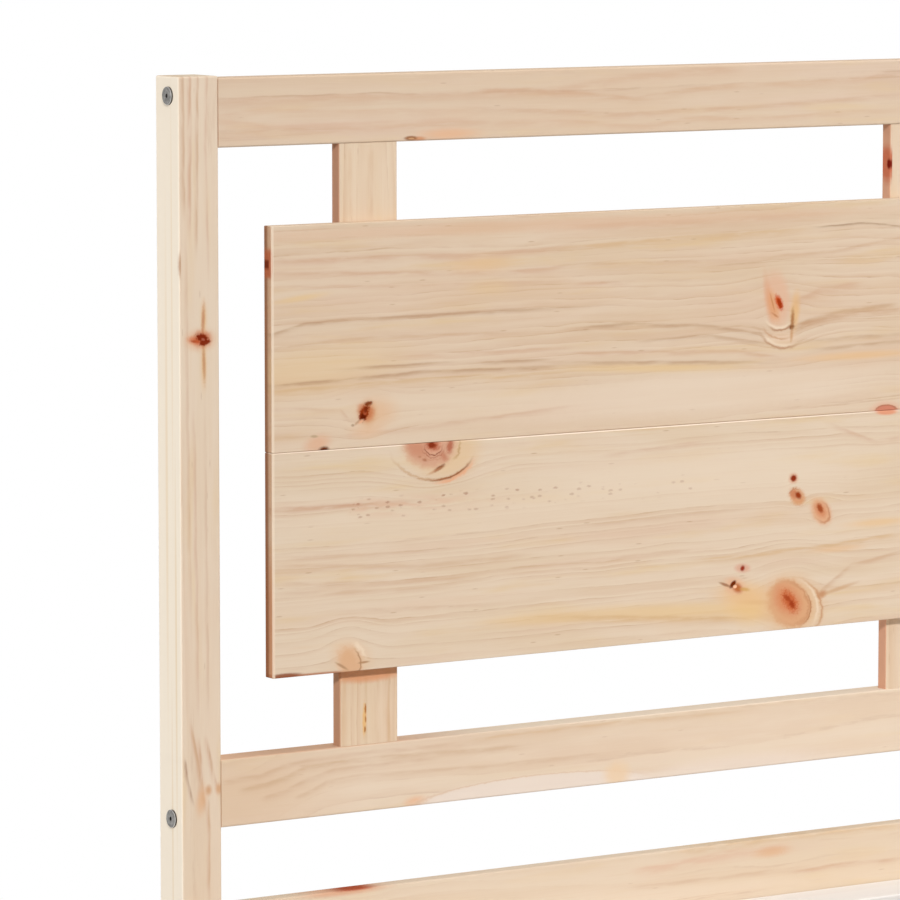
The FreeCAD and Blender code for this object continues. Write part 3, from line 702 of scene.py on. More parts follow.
DOUBLE_KNOT = around(-190, 826, [
    bend(0, 0, 40, 34, 0.8),
    blot((219, 178, 150), -7.5, 20.2, 29, 16, -80, soft=0.35, ragged=0.15),
    haze((214, 158, 124), -18.5, 20, 24, 4, -80, cover=0.6),
    blot((218, 156, 108), -12, 13, 15, 6, -74, soft=0.7, cover=0.75, ragged=0.6),
    blot((196, 130, 84), -13.6, 17, 9, 0.9, -72, soft=0.7, cover=0.7, ragged=0.8),
    blot((188, 124, 82), -9.8, 3, 4.5, 1.1, -30, soft=0.7, cover=0.7, ragged=0.8),
    blot((222, 180, 128), 16.5, 6.1, 18, 5.6, 84, soft=0.7, cover=0.85),
    blot((228, 198, 170), -0.9, -22.1, 18, 6.5, -3, soft=0.6, cover=0.5),
    stroke(CREAM, -3.5, 10.3, 22.8, 21, arc=(-98, 42), thick=0.08, cover=0.65, ragged=0.08),
    stroke((172, 126, 94), -3.5, 10.3, 25.2, 23.8, arc=(-82, 40), cover=0.85, ragged=0.14),
    stroke((196, 150, 116), -0.2, 3.6, 30, 26.4, -6, arc=(-104, 34), thick=0.04),
    stroke(CREAM, 1.8, -3, 32.2, 27, -8, arc=(-98, 40), thick=0.07, cover=0.6, ragged=0.08),
    stroke((180, 136, 104), 1.8, -3, 35, 30, -8, arc=(-96, 42), cover=0.8, ragged=0.14),
    haze((168, 116, 74), 13.2, -2.7, 10, 2.1, 86, cover=0.9, ragged=0.9),
    blot((124, 74, 42), 12.4, -11, 3.2, 2.2, 20, soft=0.6, cover=0.95, ragged=0.9),
    haze((196, 146, 102), 12.2, -19, 7, 1.8, 86, ragged=0.8),
    *grain((188, 150, 116), 1.8, 0.75, (16, -12), (40, -4), (82, 3), (150, 7)),
    *grain(ROSE_LINE, 1.8, 0.6, (18, 17), (50, 28), (100, 33)),
    blot((200, 84, 38), -4.6, 16.4, 8.2, 4, -64, cover=1, ragged=0.9),
    blot((162, 58, 24), -3.6, 15.2, 6, 2.4, -64, soft=0.4, cover=1, ragged=0.9),
])

# Upper board: the lens on the seam at the far right

SEAM_LENS = around(-49, SEAM, [
    blot((222, 166, 136), 0.1, 0, 19, 9, -3, cover=0.6),
    blot((203, 128, 103), 0.1, -1.2, 15, 7.2, -3, soft=0.2, cover=0.95, ragged=0.1),
    stroke((168, 100, 74), 0.1, -1.2, 15, 7, -3, arc=(90, 100), thick=0.1, cover=0.8),
])

plank("head_board_upper", "xzy", 0.83, (1015, 1095), rings=7.5, contrast=0.8,
      wash=((208, 174, 144), 0.15), marks=[
    # Broad tones: honey over the left end, pale along the lower edge
    blot(YELLOW, -785, 800, 96, 22, 3, soft=0.7, cover=0.45),
    haze(YELLOW, -567, 876, 24, 7, cover=0.4),
    blot((222, 182, 138), -577, 900, 34, 9, soft=0.9, cover=0.45),
    haze(YELLOW, -795, 874, 27, 3, 6),
    haze(YELLOW, -356, 780, 104, 4, -3),
    haze((224, 186, 140), -86, 780, 68, 4),
    blot((226, 208, 188), -298, 749, 250, 22, cover=0.6),
    blot((224, 205, 182), -639, 752, 165, 18, soft=0.6, cover=0.5),
    # Grain lines
    *grain(GREY_LINE, 0.9, 0.75, (-832, 838), (-789, 848), (-735, 850), (-477, 850)),
    *grain(TAN_LINE, 1, 0.6, (-832, 824), (-742, 830), (-648, 830), (-539, 827)),
    *grain(ROSE_LINE, 1, 0.6, (-675, 809), (-477, 808)),
    *grain(GREY_LINE, 0.8, 0.8, (-733, 800), (-625, 800)),
    *grain(GREY_LINE, 0.8, 0.8, (-580, 798), (-501, 797)),
    *grain(GREY_LINE, 0.9, 0.8, (-832, 787), (-735, 789), (-648, 792), (-477, 789)),
    *grain(AMBER_LINE, 1.4, 0.6, (-832, 781), (-767, 782), (-648, 784), (-477, 782)),
    *grain(ROSE_LINE, 1.5, 0.6, (-832, 913), (-648, 911), (-585, 909), (-477, 913)),
    *grain(ROSE_LINE, 1.2, 0.6, (-832, 901), (-541, 890), (-477, 893)),
    *grain(ROSE_LINE, 1, 0.4, (-832, 887), (-648, 881), (-477, 878)),
    *grain(ROSE_LINE, 1.2, 0.4, (-832, 764), (-747, 758), (-738, 749)),
    *grain(TAN_LINE, 1, 0.5, (-832, 733), (-782, 733)),
    *grain(ROSE_LINE, 1.1, 0.5, (-738, 732), (-648, 735), (-477, 745)),
    *grain(DARK_LINE, 0.5, 0.7, (-141, 922), (-86, 924), (-30, 918)),
    *grain(ROSE_LINE, 2, 0.5, (-465, 935), (-306, 934), (-141, 936)),
    *grain(AMBER_LINE, 1.6, 0.6, (-465, 913), (-290, 918), (-164, 920)),
    *grain(TAN_LINE, 1, 0.6, (-465, 894), (-241, 891), (-120, 895), (-30, 906)),
    *grain(ROSE_LINE, 0.9, 0.6, (-455, 874), (-396, 872)),
    *grain(GREY_LINE, 1, 0.7, (-465, 827), (-391, 829), (-290, 822), (-213, 810)),
    *grain(GREY_LINE, 1, 0.6, (-370, 810), (-290, 812), (-213, 800)),
    *grain(ROSE_LINE, 1.1, 0.6, (-465, 802), (-252, 793), (-196, 784)),
    *grain(GREY_LINE, 1, 0.7, (-465, 792), (-241, 781)),
    *grain(TAN_LINE, 1.4, 0.8, (-169, 817), (-108, 826), (-30, 828)),
    *grain(GREY_LINE, 1, 0.6, (-164, 800), (-30, 801)),
    *grain(GREY_LINE, 1, 0.6, (-141, 790), (-30, 793)),
    # The rounded edge along the seam, slightly brown
    blot((196, 156, 124), -440, SEAM, 460, 0.8, soft=0.2, cover=0.5, ragged=0),
    # A warm band along the top edge
    blot((216, 178, 148), -520, 937, 420, 6, soft=0.7, cover=0.45, ragged=0.8),
    *DARK_KNOT, *SEAM_SPECK, *DOUBLE_KNOT, *SEAM_LENS,
    # The left end: its dark back edge, the knot in it and a painted highlight on its rounded front edge
    blot((160, 108, 78), BOARD_END, BOARD_BACK - 1.1, 2.4, 5.6, soft=0.4, cover=0.85, ragged=0.1, side=True),
    blot((196, 112, 78), BOARD_END, 910, 1.6, 14, soft=0.25, cover=0.95, ragged=0.5, sunk=INNER),
    blot((120, 46, 26), BOARD_END, 909, 1.4, 4.5, cover=0.9, ragged=0.6, sunk=REAR),
    blot(CREAM, BOARD_END, BOARD_FRONT + 0.1, 2.6, 1.4, soft=0.3, cover=0.7, ragged=0.1, side=True),
])

# Lower board: the half knot under the seam

HALF_KNOT = around(-635, 714, [
    bend(1, 2, 62, 44, 0.98),
    blot((220, 188, 148), 10.6, -3, 44, 29, -7, soft=0.35, cover=0.7, ragged=0.1),
    blot((206, 156, 130), -4, 0.6, 31, 22.5, -7, soft=0.22, cover=0.85, ragged=0.4),
    blot((196, 128, 98), -21, -0.5, 14, 8, -24, soft=0.7, cover=0.6, ragged=0.7),
    blot((176, 98, 72), 20.4, -1.2, 3.6, 6.4, -12, soft=0.7, cover=0.85, ragged=1),
    haze((186, 112, 84), 13, -11.2, 5.6, 3, -50, cover=0.6, ragged=1),
    blot((216, 164, 136), 0.4, 0.4, 11, 8.4, soft=0.3, cover=0.7, ragged=0.4),
    stroke((142, 76, 54), 0, 0.4, 11.4, 9.2, arc=(-96, 80), thick=0.07, cover=0.9, ragged=0.9),
    stroke((176, 112, 86), 0, 0.4, 14.6, 11.6, arc=(-92, 66), thick=0.06, cover=0.8, ragged=0.9),
    stroke((196, 138, 110), 0, 0.4, 18.6, 14.8, arc=(-88, 50), thick=0.06, cover=0.6, ragged=0.9),
    blot((172, 84, 54), -0.5, 0.8, 8.4, 4.8, -10, soft=0.6, cover=0.9, ragged=1.1),
    blot((134, 52, 28), -2, 1.4, 4.6, 2.8, -10, soft=0.4, cover=1, ragged=1),
    blot((128, 72, 42), 7.4, -23, 6.6, 1.8, 27, soft=0.6, cover=0.95, ragged=0.9),
    haze((190, 136, 100), 3.4, -25.4, 9, 1.4, 20, ragged=0.6),
    blot((176, 116, 86), -10.6, -13.5, 3, 1.5, -20, soft=0.6, ragged=0.9),
    blot((186, 128, 98), -16.6, -10, 2, 1.1, -20, soft=0.6, cover=0.7, ragged=0.9),
    stroke((190, 150, 104), 0, 0.4, 32.6, 26, arc=(-14, 22), cover=0.8, ragged=0.3),
    stroke((226, 164, 126), -1.2, 7.8, 58.8, 45.4, -8, arc=(-52, 27), cover=0.8),
    stroke((196, 158, 122), -1.2, 7.8, 55.2, 42.4, -8, arc=(-96, 44), thick=0.03),
    stroke((150, 92, 56), -1.2, 7.8, 56, 43, -8, arc=(-58, 30), thick=0.024, cover=1, ragged=0.06),
])

# Lower board: the large orange knot with its rings

ORANGE_KNOT = around(-178, 517, [
    bend(0, 0, 52, 42, 0.97),
    blot((226, 190, 136), -51.4, 0.9, 28, 18, -6, soft=0.7, cover=0.75),
    haze((212, 168, 120), -43.5, 3.5, 22, 2.4, -5, cover=0.5),
    blot((218, 180, 140), 1.5, -2.4, 41, 32, -20, soft=0.35, cover=0.65, ragged=0.1),
    blot((212, 160, 120), -0.9, -0.9, 31.3, 23.8, -35, soft=0.2, cover=0.85, ragged=0.4),
    stroke((194, 136, 94), -0.9, -0.9, 29, 21.8, -35, arc=(40, 100), thick=0.09, cover=0.65, ragged=0.5),
    stroke((178, 122, 84), -0.9, -0.9, 31.8, 24.2, -35, arc=(20, 42), thick=0.03, cover=0.9),
    stroke(CREAM, 1.8, -1.1, 38.4, 28.2, -30, arc=(36, 46), cover=0.55),
    stroke((194, 144, 106), 1.8, -3, 44, 31.6, -26, arc=(28, 52), thick=0.04, cover=0.8),
    blot((208, 130, 88), -2.5, 2.3, 18.5, 12.6, -39, soft=0.6, cover=0.85, ragged=0.5),
    blot((190, 92, 52), 0.5, 1, 13, 6.6, -52, soft=0.6, cover=0.95, ragged=1.5),
    blot((158, 62, 30), 3.4, -2.2, 5.2, 2.8, -56, cover=0.95, ragged=1.3),
    blot((164, 70, 36), -3.4, 5.2, 5, 2.4, -40, cover=0.9, ragged=1.3),
    blot((190, 132, 90), 43.5, 5.6, 6, 3.6, 12, soft=0.7, ragged=0.5),
    blot((196, 154, 116), 66, 10, 22, 2, 12, soft=0.7, cover=0.6),
])

# Lower board: the small knots above the orange one

SMALL_KNOTS = around(-137, 614, [
    bend(0, 0, 24, 20, 0.9),
    bend(-31, 18, 16, 13, 0.85),
    blot((216, 162, 124), 0.4, -0.7, 16, 11, -50, soft=0.4, cover=0.85, ragged=0.4),
    stroke((188, 126, 88), 0.4, -0.7, 14, 9.2, -50, arc=(20, 90), thick=0.12, cover=0.75, ragged=0.4),
    blot((206, 132, 90), -0.4, 0.9, 9, 5.6, -50, soft=0.6, cover=0.85, ragged=0.6),
    blot((158, 76, 42), -0.8, 2.6, 5.2, 3, -54, cover=0.95, ragged=0.9),
    blot((208, 146, 100), -31.6, 17.2, 11, 8.2, -35, soft=0.4, cover=0.85, ragged=0.6),
    blot((196, 122, 86), -36, 20.4, 5.6, 4.2, -30, ragged=0.6),
    stroke((176, 116, 76), -31.6, 17.2, 10.6, 7.8, -35, arc=(150, 50), thick=0.1, ragged=0.5),
    blot((148, 60, 28), -30.1, 18.7, 4.2, 3, -43, cover=1, ragged=0.8),
    blot((214, 150, 112), -36.8, 37.6, 5.4, 5, soft=0.6, ragged=0.5),
    blot((138, 50, 26), -36.8, 37.6, 3.8, 3.4, soft=0.4, cover=1, ragged=0.5),
])

# Lower board: the pair at the left of the orange knot

KNOT_PAIR = around(-251, 540, [
    haze((224, 184, 138), 8.4, -10.3, 28, 11, -5),
    blot((212, 160, 136), 10.1, 18.7, 9.6, 4.4, -5),
    blot((146, 56, 38), 10.1, 18.6, 3, 2.6, 52, cover=1, ragged=0.3),
    blot((221, 172, 138), -0.2, 0.1, 13.2, 8.2, -18, soft=0.6),
    blot((183, 102, 54), 3.4, -2.1, 6.6, 4.4, -32, soft=0.6, cover=0.95),
    blot((108, 42, 16), -2.6, 2.3, 5.2, 2.6, 41, soft=0.35, cover=1, ragged=0.3),
    blot((250, 202, 164), 0.2, -0.4, 2.4, 1.8, soft=0.4, cover=0.9, ragged=0.1),
    blot((204, 158, 90), 13.1, -4.4, 6.2, 1.9, -9, soft=0.6, cover=0.75),
    blot((160, 114, 84), -12.7, 2.5, 7.6, 1.5, -20, soft=0.6, cover=0.9),
])

# Lower board: the arched knot over the left upright

ARCHED_KNOT = around(-738, 497, [
    bend(0, 0, 30, 34, 0.97),
    haze((222, 184, 146), 3, 7, 19, 13, -20),
    blot((214, 168, 130), 0.9, -0.4, 17, 12, -62, soft=0.45, ragged=0.8),
    stroke((172, 126, 90), -1.5, -1.2, 15.6, 17.4, arc=(2, 50), thick=0.065, cover=0.85, ragged=0.3),
    stroke(CREAM, -1.5, -1.2, 22.4, 21.4, arc=(44, 30), thick=0.09, cover=0.65, ragged=0.4),
    blot((176, 136, 102), -8.4, -2.7, 7.6, 1.3, -30, soft=0.6, cover=0.85),
    blot((172, 130, 94), 18.4, -0.8, 6, 1.1, 3, soft=0.6, cover=0.85),
])

plank("head_board_lower", "xzy", 0.19, (420, 1090), rings=6.5, wander=0.9, contrast=0.75,
      specks=(-745, -300, 654, 9), marks=[
    # Broad tones
    blot((224, 205, 182), -614, 640, 190, 20, soft=0.6, cover=0.5),
    blot((226, 208, 186), -298, 662, 210, 26, soft=0.6, cover=0.6),
    haze(YELLOW, -500, 524, 60, 6, -2, cover=0.6),
    haze(YELLOW, -337, 519, 131, 8, -3, cover=0.75),
    haze((224, 188, 142), -59, 596, 36, 4),
    haze((222, 184, 144), -114, 571, 30, 3.4, cover=0.6),
    # Grain lines
    *grain(STAIN_LINE, 1.2, 0.6, (-832, 661), (-678, 659)),
    *grain(TAN_LINE, 1.3, 0.55, (-811, 603), (-648, 591), (-530, 593)),
    *grain(TAN_LINE, 1.3, 0.55, (-811, 584), (-697, 578), (-590, 574)),
    *grain(TAN_LINE, 1.2, 0.5, (-811, 574), (-629, 567)),
    *grain(TAN_LINE, 1.1, 0.5, (-811, 611), (-639, 605)),
    *grain(TAN_LINE, 1.1, 0.5, (-745, 551), (-570, 545)),
    *grain(ROSE_LINE, 1.2, 0.5, (-413, 692), (-290, 699)),
    *grain(AMBER_LINE, 1.3, 0.7, (-290, 572), (-164, 574), (-30, 582)),
    *grain(TAN_LINE, 1.3, 0.7, (-136, 527), (-97, 551), (-30, 562)),
    *grain(AMBER_LINE, 1.5, 0.7, (-465, 523), (-224, 504)),
    *grain(ROSE_LINE, 1.2, 0.55, (-120, 706), (-63, 685), (-30, 688)),
    *grain(TAN_LINE, 1.1, 0.5, (-427, 620), (-245, 624)),
    *grain(TAN_LINE, 1.1, 0.5, (-477, 581), (-298, 584)),
    # The rounded edges along the seam, with a painted highlight, and, at the left, along the bottom
    blot(SEAM_HIGHLIGHT, -440, SEAM, 460, 1.4, soft=0.15, cover=0.9, ragged=0),
    blot((176, 112, 80), -785, BOARD_FOOT + 0.5, 50, 1.8, ragged=0.2),
    blot((142, 80, 52), -814, BOARD_FOOT + 2.1, 18, 2.4, cover=0.9, ragged=0.3),
    *HALF_KNOT, *ORANGE_KNOT, *SMALL_KNOTS, *KNOT_PAIR, *ARCHED_KNOT,
    # The lower half of the lens on the seam, and the left end, with a painted highlight on its rounded front
    # edge
    blot((224, 150, 116), -48.9, SEAM - 1.4, 13.7, 3.4, -2, soft=0.4, cover=0.9),
    blot((206, 138, 96), BOARD_END, 530, 2, 70, cover=0.6, ragged=0.3),
    blot((156, 100, 70), BOARD_END, BOARD_BACK - 1.1, 2.4, 5.8, soft=0.4, cover=0.85, ragged=0.1, side=True),
    blot(CREAM, BOARD_END, BOARD_FRONT + 0.1, 2.6, 1.4, soft=0.3, cover=0.7, ragged=0.1, side=True),
])

UPRIGHT_FRONT = (face("head_upright_left", "y", 0), 4)
CENTRE_EDGE = (face("head_upright_centre", "x", 0) - 0.5, 3.5)

# Both uprights' side faces carry painted shade, darker than their fronts
plank("head_upright_left", "zxy", 0.44, (-700, 1080), rings=4.5, wander=0.4, contrast=1.2, cheek_light_and_shade=("x", SHADE_CHEEK),
      wash=((232, 207, 178), 0.35), marks=[
    *grain((212, 176, 138), 3, 0.5, (598, -732), (516, -732), (408, -734)),
    *grain((204, 172, 132), 1.2, 0.6, (514, -708), (481, -708), (405, -708)),
    *grain((208, 174, 138), 2.4, 0.5, (513, -694), (461, -694), (404, -693)),
    *grain((204, 164, 124), 1.4, 0.6, (512, -681), (460, -681), (403, -679)),
    *grain((210, 174, 138), 2, 0.5, (1021, -726), (990, -726), (954, -726)),
    *grain((206, 168, 132), 1.6, 0.5, (1020, -700), (989, -700), (953, -700)),
    # The boards' shadow and, below it, a small knot with three cores
    blot((216, 150, 106), 482, -706, 9, 44, soft=0.4, sunk=UPRIGHT_FRONT),
    blot((226, 182, 122), 433.9, -710, 15.5, 2.2, 1, cover=0.9, ragged=0.7, sunk=UPRIGHT_FRONT),
    blot((176, 116, 62), 444.9, -708.6, 5, 1.1, 1, cover=0.95, ragged=0.6, sunk=UPRIGHT_FRONT),
    blot((182, 122, 68), 434, -708.4, 3.2, 1, -3, cover=0.9, ragged=0.6, sunk=UPRIGHT_FRONT),
    blot((178, 118, 64), 423.5, -709.2, 3.2, 1.1, 3, cover=0.95, ragged=0.6, sunk=UPRIGHT_FRONT),
])
plank("head_upright_centre", "zxy", 0.71, (10, 1075), rings=4.5, wander=0.4, contrast=1.2, cheek_light_and_shade=("x", SHADE_CHEEK),
      wash=((232, 207, 178), 0.35), marks=[
    # A red knot that shows on the left edge alone
    blot((192, 104, 74), 985, 1010, 19, 12, soft=0.4, cover=0.9, ragged=0.5, side=True, sunk=CENTRE_EDGE),
    blot((118, 30, 18), 985, 1006, 5.5, 3.4, soft=0.4, cover=1, ragged=0.5, side=True, sunk=CENTRE_EDGE),
])

RAIL_TOP = face("head_middle_rail", "z", 1)

plank("head_middle_rail", "xzy", 0.66, (352, 1110), rings=9.0, wander=1.2, contrast=0.9,
      climb=(39, -885, -745), wash=((230, 212, 192), 0.4), marks=[
    # Broad tones, warm at the left and pale at the right; on the top face, a painted shadow at the left and
    # painted light at the right
    haze((214, 182, 150), -860, 372, 90, 40, cover=0.5),
    haze((236, 218, 196), -150, 372, 260, 50, cover=0.15),
    blot((212, 175, 147), -800, RAIL_TOP + 0.4, 190, 1.4, cover=0.95, ragged=0.3),
    blot((236, 219, 198), -250, RAIL_TOP + 0.4, 350, 1.4, soft=0.3, ragged=0),
    # Grain lines that climb to the right
    *grain(TAN_LINE, 1.4, 0.5, (-878, 385), (-857, 387), (-836, 387), (-808, 395), (-774, 398), (-733, 400),
           (-575, 398)),
    *grain((196, 160, 126), 1.4, 0.6, (-857, 376), (-828, 378), (-804, 383), (-781, 391), (-729, 393),
           (-642, 392), (-519, 389)),
    *grain(TAN_LINE, 1.3, 0.5, (-831, 364), (-804, 369), (-781, 378), (-748, 385), (-700, 386), (-630, 386)),
    *grain((200, 164, 132), 1.2, 0.5, (-792, 361), (-772, 367), (-757, 373), (-717, 376), (-575, 372),
           (-417, 371)),
    *grain(AMBER_LINE, 1, 0.5, (-575, 402), (-417, 403), (-242, 402)),
    # Two clear lenses along the lower edge, an orange patch at their left and a honey one in the first
    haze((226, 178, 140), -647, 342, 12, 5, cover=0.8, ragged=0.4),
    blot((229, 215, 203), -496, 336, 152, 20, soft=0.12, cover=0.85, ragged=0.1),
    stroke((208, 172, 138), -496, 336, 152, 20, arc=(110, 80), thick=0.03, cover=0.5),
    blot((231, 217, 205), -235, 333, 135, 19, soft=0.4, cover=0.6, ragged=0.2),
    blot((230, 200, 164), -394, 347, 15, 12, soft=0.6, cover=0.75, ragged=0.6),
])
plank("head_lower_rail", "xzy", 0.92, (190, 1090), rings=8.0, wander=1.2, wash=((226, 208, 186), 0.4), marks=[
    bend(-727, 256, 60, 12, 0.8),
    blot((216, 164, 132), -735, 257, 44, 4, soft=0.6),
    blot((170, 78, 50), -722, 258.2, 22, 1.7, soft=0.7, cover=0.95, ragged=0.4),
    *grain((212, 168, 140), 2.2, 0.6, (-366, 241), (-301, 244), (-242, 248), (-169, 248)),
    *grain(ROSE_LINE, 1.2, 0.7, (-155, 218), (-88, 220), (-21, 218)),
    *grain(AMBER_LINE, 1.6, 0.6, (-314, 255), (-182, 258), (-21, 255)),
    *grain(TAN_LINE, 1.2, 0.5, (-366, 223), (-262, 222), (-155, 222)),
    bend(-186, 245, 40, 16, 0.8),
    haze((216, 168, 126), -190, 243, 20, 5, cover=0.55, ragged=0.6),
])


# The planks outside the photograph, each from its own part of a tree. A knot is its kind, its share of the
# plank's length, its share of half the plank's width, and its size

KNOT_KINDS = {"red": red_knot, "dark": dark_knot, "pale": pale_knot}
REST = {
    "head_post_right": ("zxy", (930, 1110), [("red", 0.55, 0.3, 8), ("dark", 0.22, -0.3, 4.5)]),
    "foot_post_left": ("zxy", (-940, -1090), [("red", 0.6, 0.1, 8)]),
    "foot_post_right": ("zxy", (880, -1100), [("dark", 0.35, -0.2, 4.5)]),
    "head_upright_right": ("zxy", (715, 1080), [("red", 0.12, 0.2, 9)]),
    "foot_rail": ("xzy", (170, -1090), [
        ("red", 0.2, 0.2, 20), ("dark", 0.47, -0.55, 6), ("pale", 0.74, 0.35, 16), ("dark", 0.9, -0.2, 5)]),
    "side_rail_left": ("yzx", (205, -1000), [
        ("red", 0.12, -0.4, 15), ("pale", 0.41, 0.3, 20), ("dark", 0.66, -0.2, 6), ("red", 0.86, 0.5, 18)]),
    "side_rail_right": ("yzx", (150, 1010), [
        ("dark", 0.15, 0.3, 6), ("red", 0.36, -0.5, 13), ("red", 0.63, 0.1, 22), ("dark", 0.8, 0.6, 5)]),
    "slat_ledge_left": ("yzx", (120, -960), [("dark", 0.3, 0.1, 4.5)]),
    "slat_ledge_right": ("yzx", (130, 960), [("dark", 0.7, -0.1, 4.5)]),
    "centre_beam": ("yzx", (90, 60), [("red", 0.27, 0.3, 11), ("dark", 0.78, -0.3, 5)]),
    "centre_leg_head": ("zxy", (10, 420), [("dark", 0.4, -0.4, 4.5)]),
    "centre_leg_foot": ("zxy", (-15, -250), [("pale", 0.3, 0.3, 7)]),
}


def share_between(node, axis, share):
    """The place on an axis at a share of the node's extent."""
    low, high = face(node, axis, 0), face(node, axis, 1)
    return low + (high - low) * share


def knots_on(node, axes, knots):
    """The marks of all the knots of a plank."""
    found = []
    for kind, along, across, size in knots:
        at_along = share_between(node, axes[0], along)
        at_across = share_between(node, axes[1], 0.5 + across / 2)
        found += KNOT_KINDS[kind](at_along, at_across, size, tilt=(along * 300) % 90 - 45)
    return found


for count, (node, (axes, heart, knots)) in enumerate(REST.items()):
    seed = 0.37 + count * 0.618
    plank(node, axes, seed, heart, rings=5.0 + seed % 2, wander=0.9, contrast=0.95,
          marks=knots_on(node, axes, knots))

# The slats are washed almost white: painted light, standing in for the strong light on their tops
SLAT_KNOTS = [("dark", 0.13, 0.2, 5), ("red", 0.31, -0.4, 9), ("dark", 0.52, 0.5, 4.5),
              ("red", 0.68, -0.1, 13), ("pale", 0.84, 0.35, 10), ("red", 0.93, -0.5, 8)]
MOST_KNOTS = 3
SLATS = 15
for number in range(1, SLATS + 1):
    node = "slat_%02d" % number
    picked = [SLAT_KNOTS[(number + step * 2) % len(SLAT_KNOTS)] for step in range(1 + number % MOST_KNOTS)]
    moved = [(kind, (along + number * 0.137) % 0.9 + 0.05, across, size)
             for kind, along, across, size in picked]
    heart = (share_between(node, "y", 0.5) + 40 * math.sin(number * 2.4), 130 - 12 * (number % 4))
    plank(node, "xyz", 0.21 + number * 0.414, heart, rings=5.5 + number % 3, wander=0.8, tone=-0.2,
          contrast=0.9, wash=((242, 240, 238), 0.8), marks=knots_on(node, "xyz", moved))

# Steel pieces and the axis along which each is brushed

STEEL = {
    "head_rail_bolts": "x", "foot_rail_bolts": "x", "side_rail_bolts": "y", "leg_bolts": "x",
    "leg_sleeve_nuts": "x", "head_rail_barrel_nuts": "y", "foot_rail_barrel_nuts": "y",
    "side_rail_barrel_nuts": "x", "head_board_screws": "y", "hanger_screws": "y", "slat_screws": "z",
    "ledge_screws": "x", "beam_hanger_head": "y", "beam_hanger_foot": "y",
}
for count, (node, run) in enumerate(STEEL.items()):
    zinc(node, count * 1.7, run)

DOWELS = {"head_rail_dowels": "xyz", "foot_rail_dowels": "xyz", "side_rail_dowels": "yxz",
          "upright_pegs": "zxy"}
for count, (node, axes) in enumerate(DOWELS.items()):
    plank(node, axes, 1.3 + count, (0, 0), rings=2.5, wander=0.3, tone=0.3, kind="beech")


# Floor and background, in metres. Outside the near rectangle the floor turns white over FADE. Where it is
# seen, its tone is higher and it glows

FLOOR_RADIUS = 80
NEAR_X, NEAR_Y = 0.9, 1.0
FADE = (0.15, 1.1)
FLOOR_TONE = 0.45
SEEN_TONE = 0.40
SEEN_GLOW = 0.25


def seen_rays(t):
    """1 for rays of the camera, in mirrors and through glass, and 0 for the others."""
    path = t.add("ShaderNodeLightPath")
    camera, glossy, through = (t.value(path.outputs["Is %s Ray" % kind])
                               for kind in ("Camera", "Glossy", "Transmission"))
    return camera.maths("MAXIMUM", glossy).maths("MAXIMUM", through)


def floor_material():
    """A pale floor that keeps the shadow near the bed and runs out to plain white."""
    material, t = start_material("floor")
    x, y, z = t.place()
    far_x = (x.maths("ABSOLUTE") - NEAR_X).maths("MAXIMUM", 0.0)
    far_y = (y.maths("ABSOLUTE") - NEAR_Y).maths("MAXIMUM", 0.0)
    away = (far_x * far_x + far_y * far_y).maths("SQRT")
    seen = seen_rays(t)
    grey = seen * SEEN_TONE + FLOOR_TONE
    plain = t.add("ShaderNodeBsdfDiffuse", color=t.vector(grey, grey, grey))
    glow = t.add("ShaderNodeEmission", strength=seen * SEEN_GLOW)
    near = t.add("ShaderNodeAddShader")
    t.tree.links.new(plain.outputs[0], near.inputs[0])
    t.tree.links.new(glow.outputs[0], near.inputs[1])
    white = t.add("ShaderNodeEmission")
    t.end("ShaderNodeOutputMaterial", t.blend(seen * away.step(*FADE), near, white))
    return material


bpy.ops.mesh.primitive_circle_add(vertices=96, radius=FLOOR_RADIUS, fill_type="NGON", location=(0, 0, 0))
floor = bpy.context.object
floor.name = "floor"
floor.data.materials.append(floor_material())

scene = bpy.context.scene
SOFT_TONE = (1.0, 0.98, 0.97, 1.0)
SOFT_STRENGTH = 0.22


def studio():
    """A white background, which lights the bed only softly."""
    world = bpy.data.worlds.new("studio")
    world.use_nodes = True
    world.node_tree.nodes.clear()
    t = Tree(world.node_tree)
    soft = t.add("ShaderNodeBackground", color=SOFT_TONE, strength=SOFT_STRENGTH)
    white = t.add("ShaderNodeBackground", strength=1.0)
    t.end("ShaderNodeOutputWorld", t.blend(seen_rays(t), soft, white))
    return world


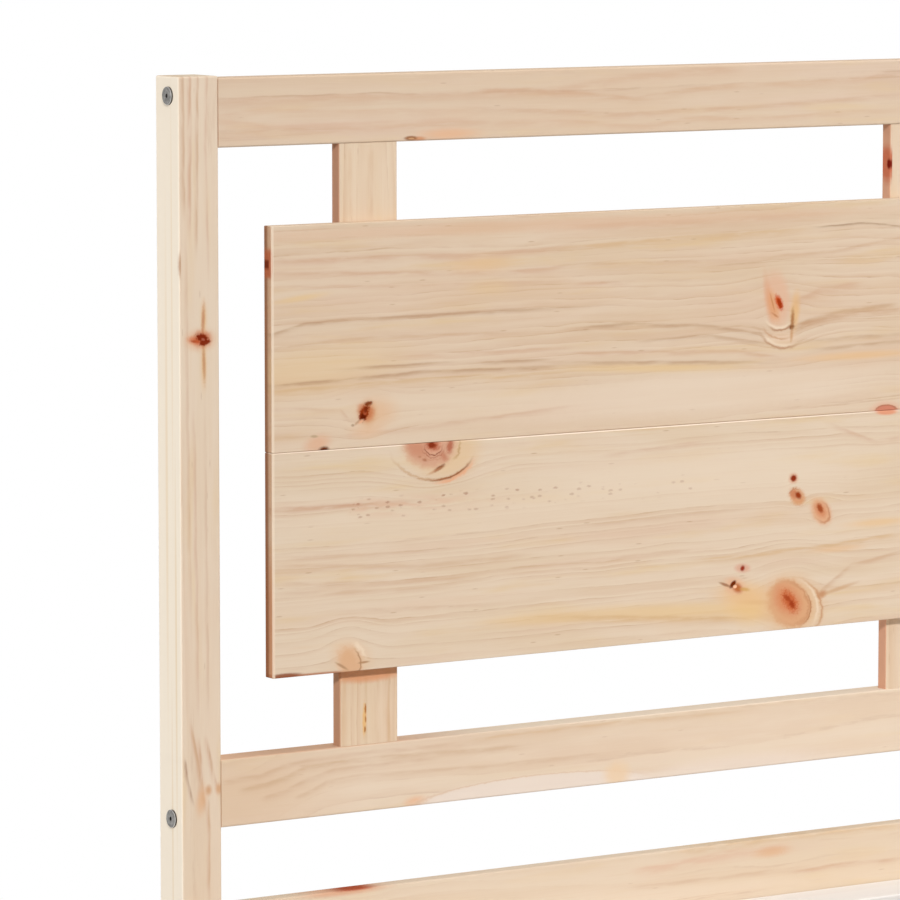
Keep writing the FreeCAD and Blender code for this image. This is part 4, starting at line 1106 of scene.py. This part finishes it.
scene.world = studio()


def place_lamp(name, data, place, target, power):
    """A lamp in the scene, its place and target in metres."""
    data.energy = power
    item = bpy.data.objects.new(name, data)
    scene.collection.objects.link(item)
    item.location = place
    item.rotation_euler = (Vector(target) - Vector(place)).to_track_quat("-Z", "Y").to_euler()
    item.visible_camera = False


def soft_box(name, place, target, width, height, power):
    """A lamp with a rectangular face, its sides in metres and its power in watts."""
    data = bpy.data.lights.new(name, "AREA")
    data.shape = "RECTANGLE"
    data.size, data.size_y = width, height
    place_lamp(name, data, place, target, power)


KEY_ANGLE = 5
key = bpy.data.lights.new("key", "SUN")
key.angle = math.radians(KEY_ANGLE)
place_lamp("key", key, (-3.7, -5.0, 4.3), (-0.4, 1.0, 0.6), 2.12)
soft_box("left_side", (-4.8, 1.65, 1.1), (-0.93, 1.03, 0.6), 0.8, 1.6, 64)
soft_box("right_fill", (3.0, -3.4, 0.5), (0.3, 1.0, 0.3), 1.2, 0.8, 26)
soft_box("overhead", (0.0, -0.2, 4.2), (0.0, -0.2, 0.2), 3.0, 3.0, 55)
soft_box("back_fill", (1.2, 5.2, 1.6), (0.0, 1.0, 0.6), 2.4, 1.4, 90)
soft_box("right_side", (4.9, 0.3, 1.5), (0.9, 0.0, 0.4), 2.4, 1.4, 80)

# Camera, at the photograph's angle: place in metres, lens in millimetres, turn to the right and tilt down

CAMERA_PLACE = (-3.6386, -3.6826, 1.3288)
CAMERA_LENS = 217.05
YAW, PITCH = math.radians(32.919), math.radians(6.357)

camera_data = bpy.data.cameras.new("camera")
camera_data.sensor_width = 36
camera_data.lens = CAMERA_LENS
camera_data.clip_end = 300
camera = bpy.data.objects.new("camera", camera_data)
scene.collection.objects.link(camera)
scene.camera = camera
ahead = Vector((math.sin(YAW) * math.cos(PITCH), math.cos(YAW) * math.cos(PITCH), -math.sin(PITCH)))
camera.location = CAMERA_PLACE
camera.rotation_euler = ahead.to_track_quat("-Z", "Y").to_euler()

scene.view_settings.view_transform = "Standard"
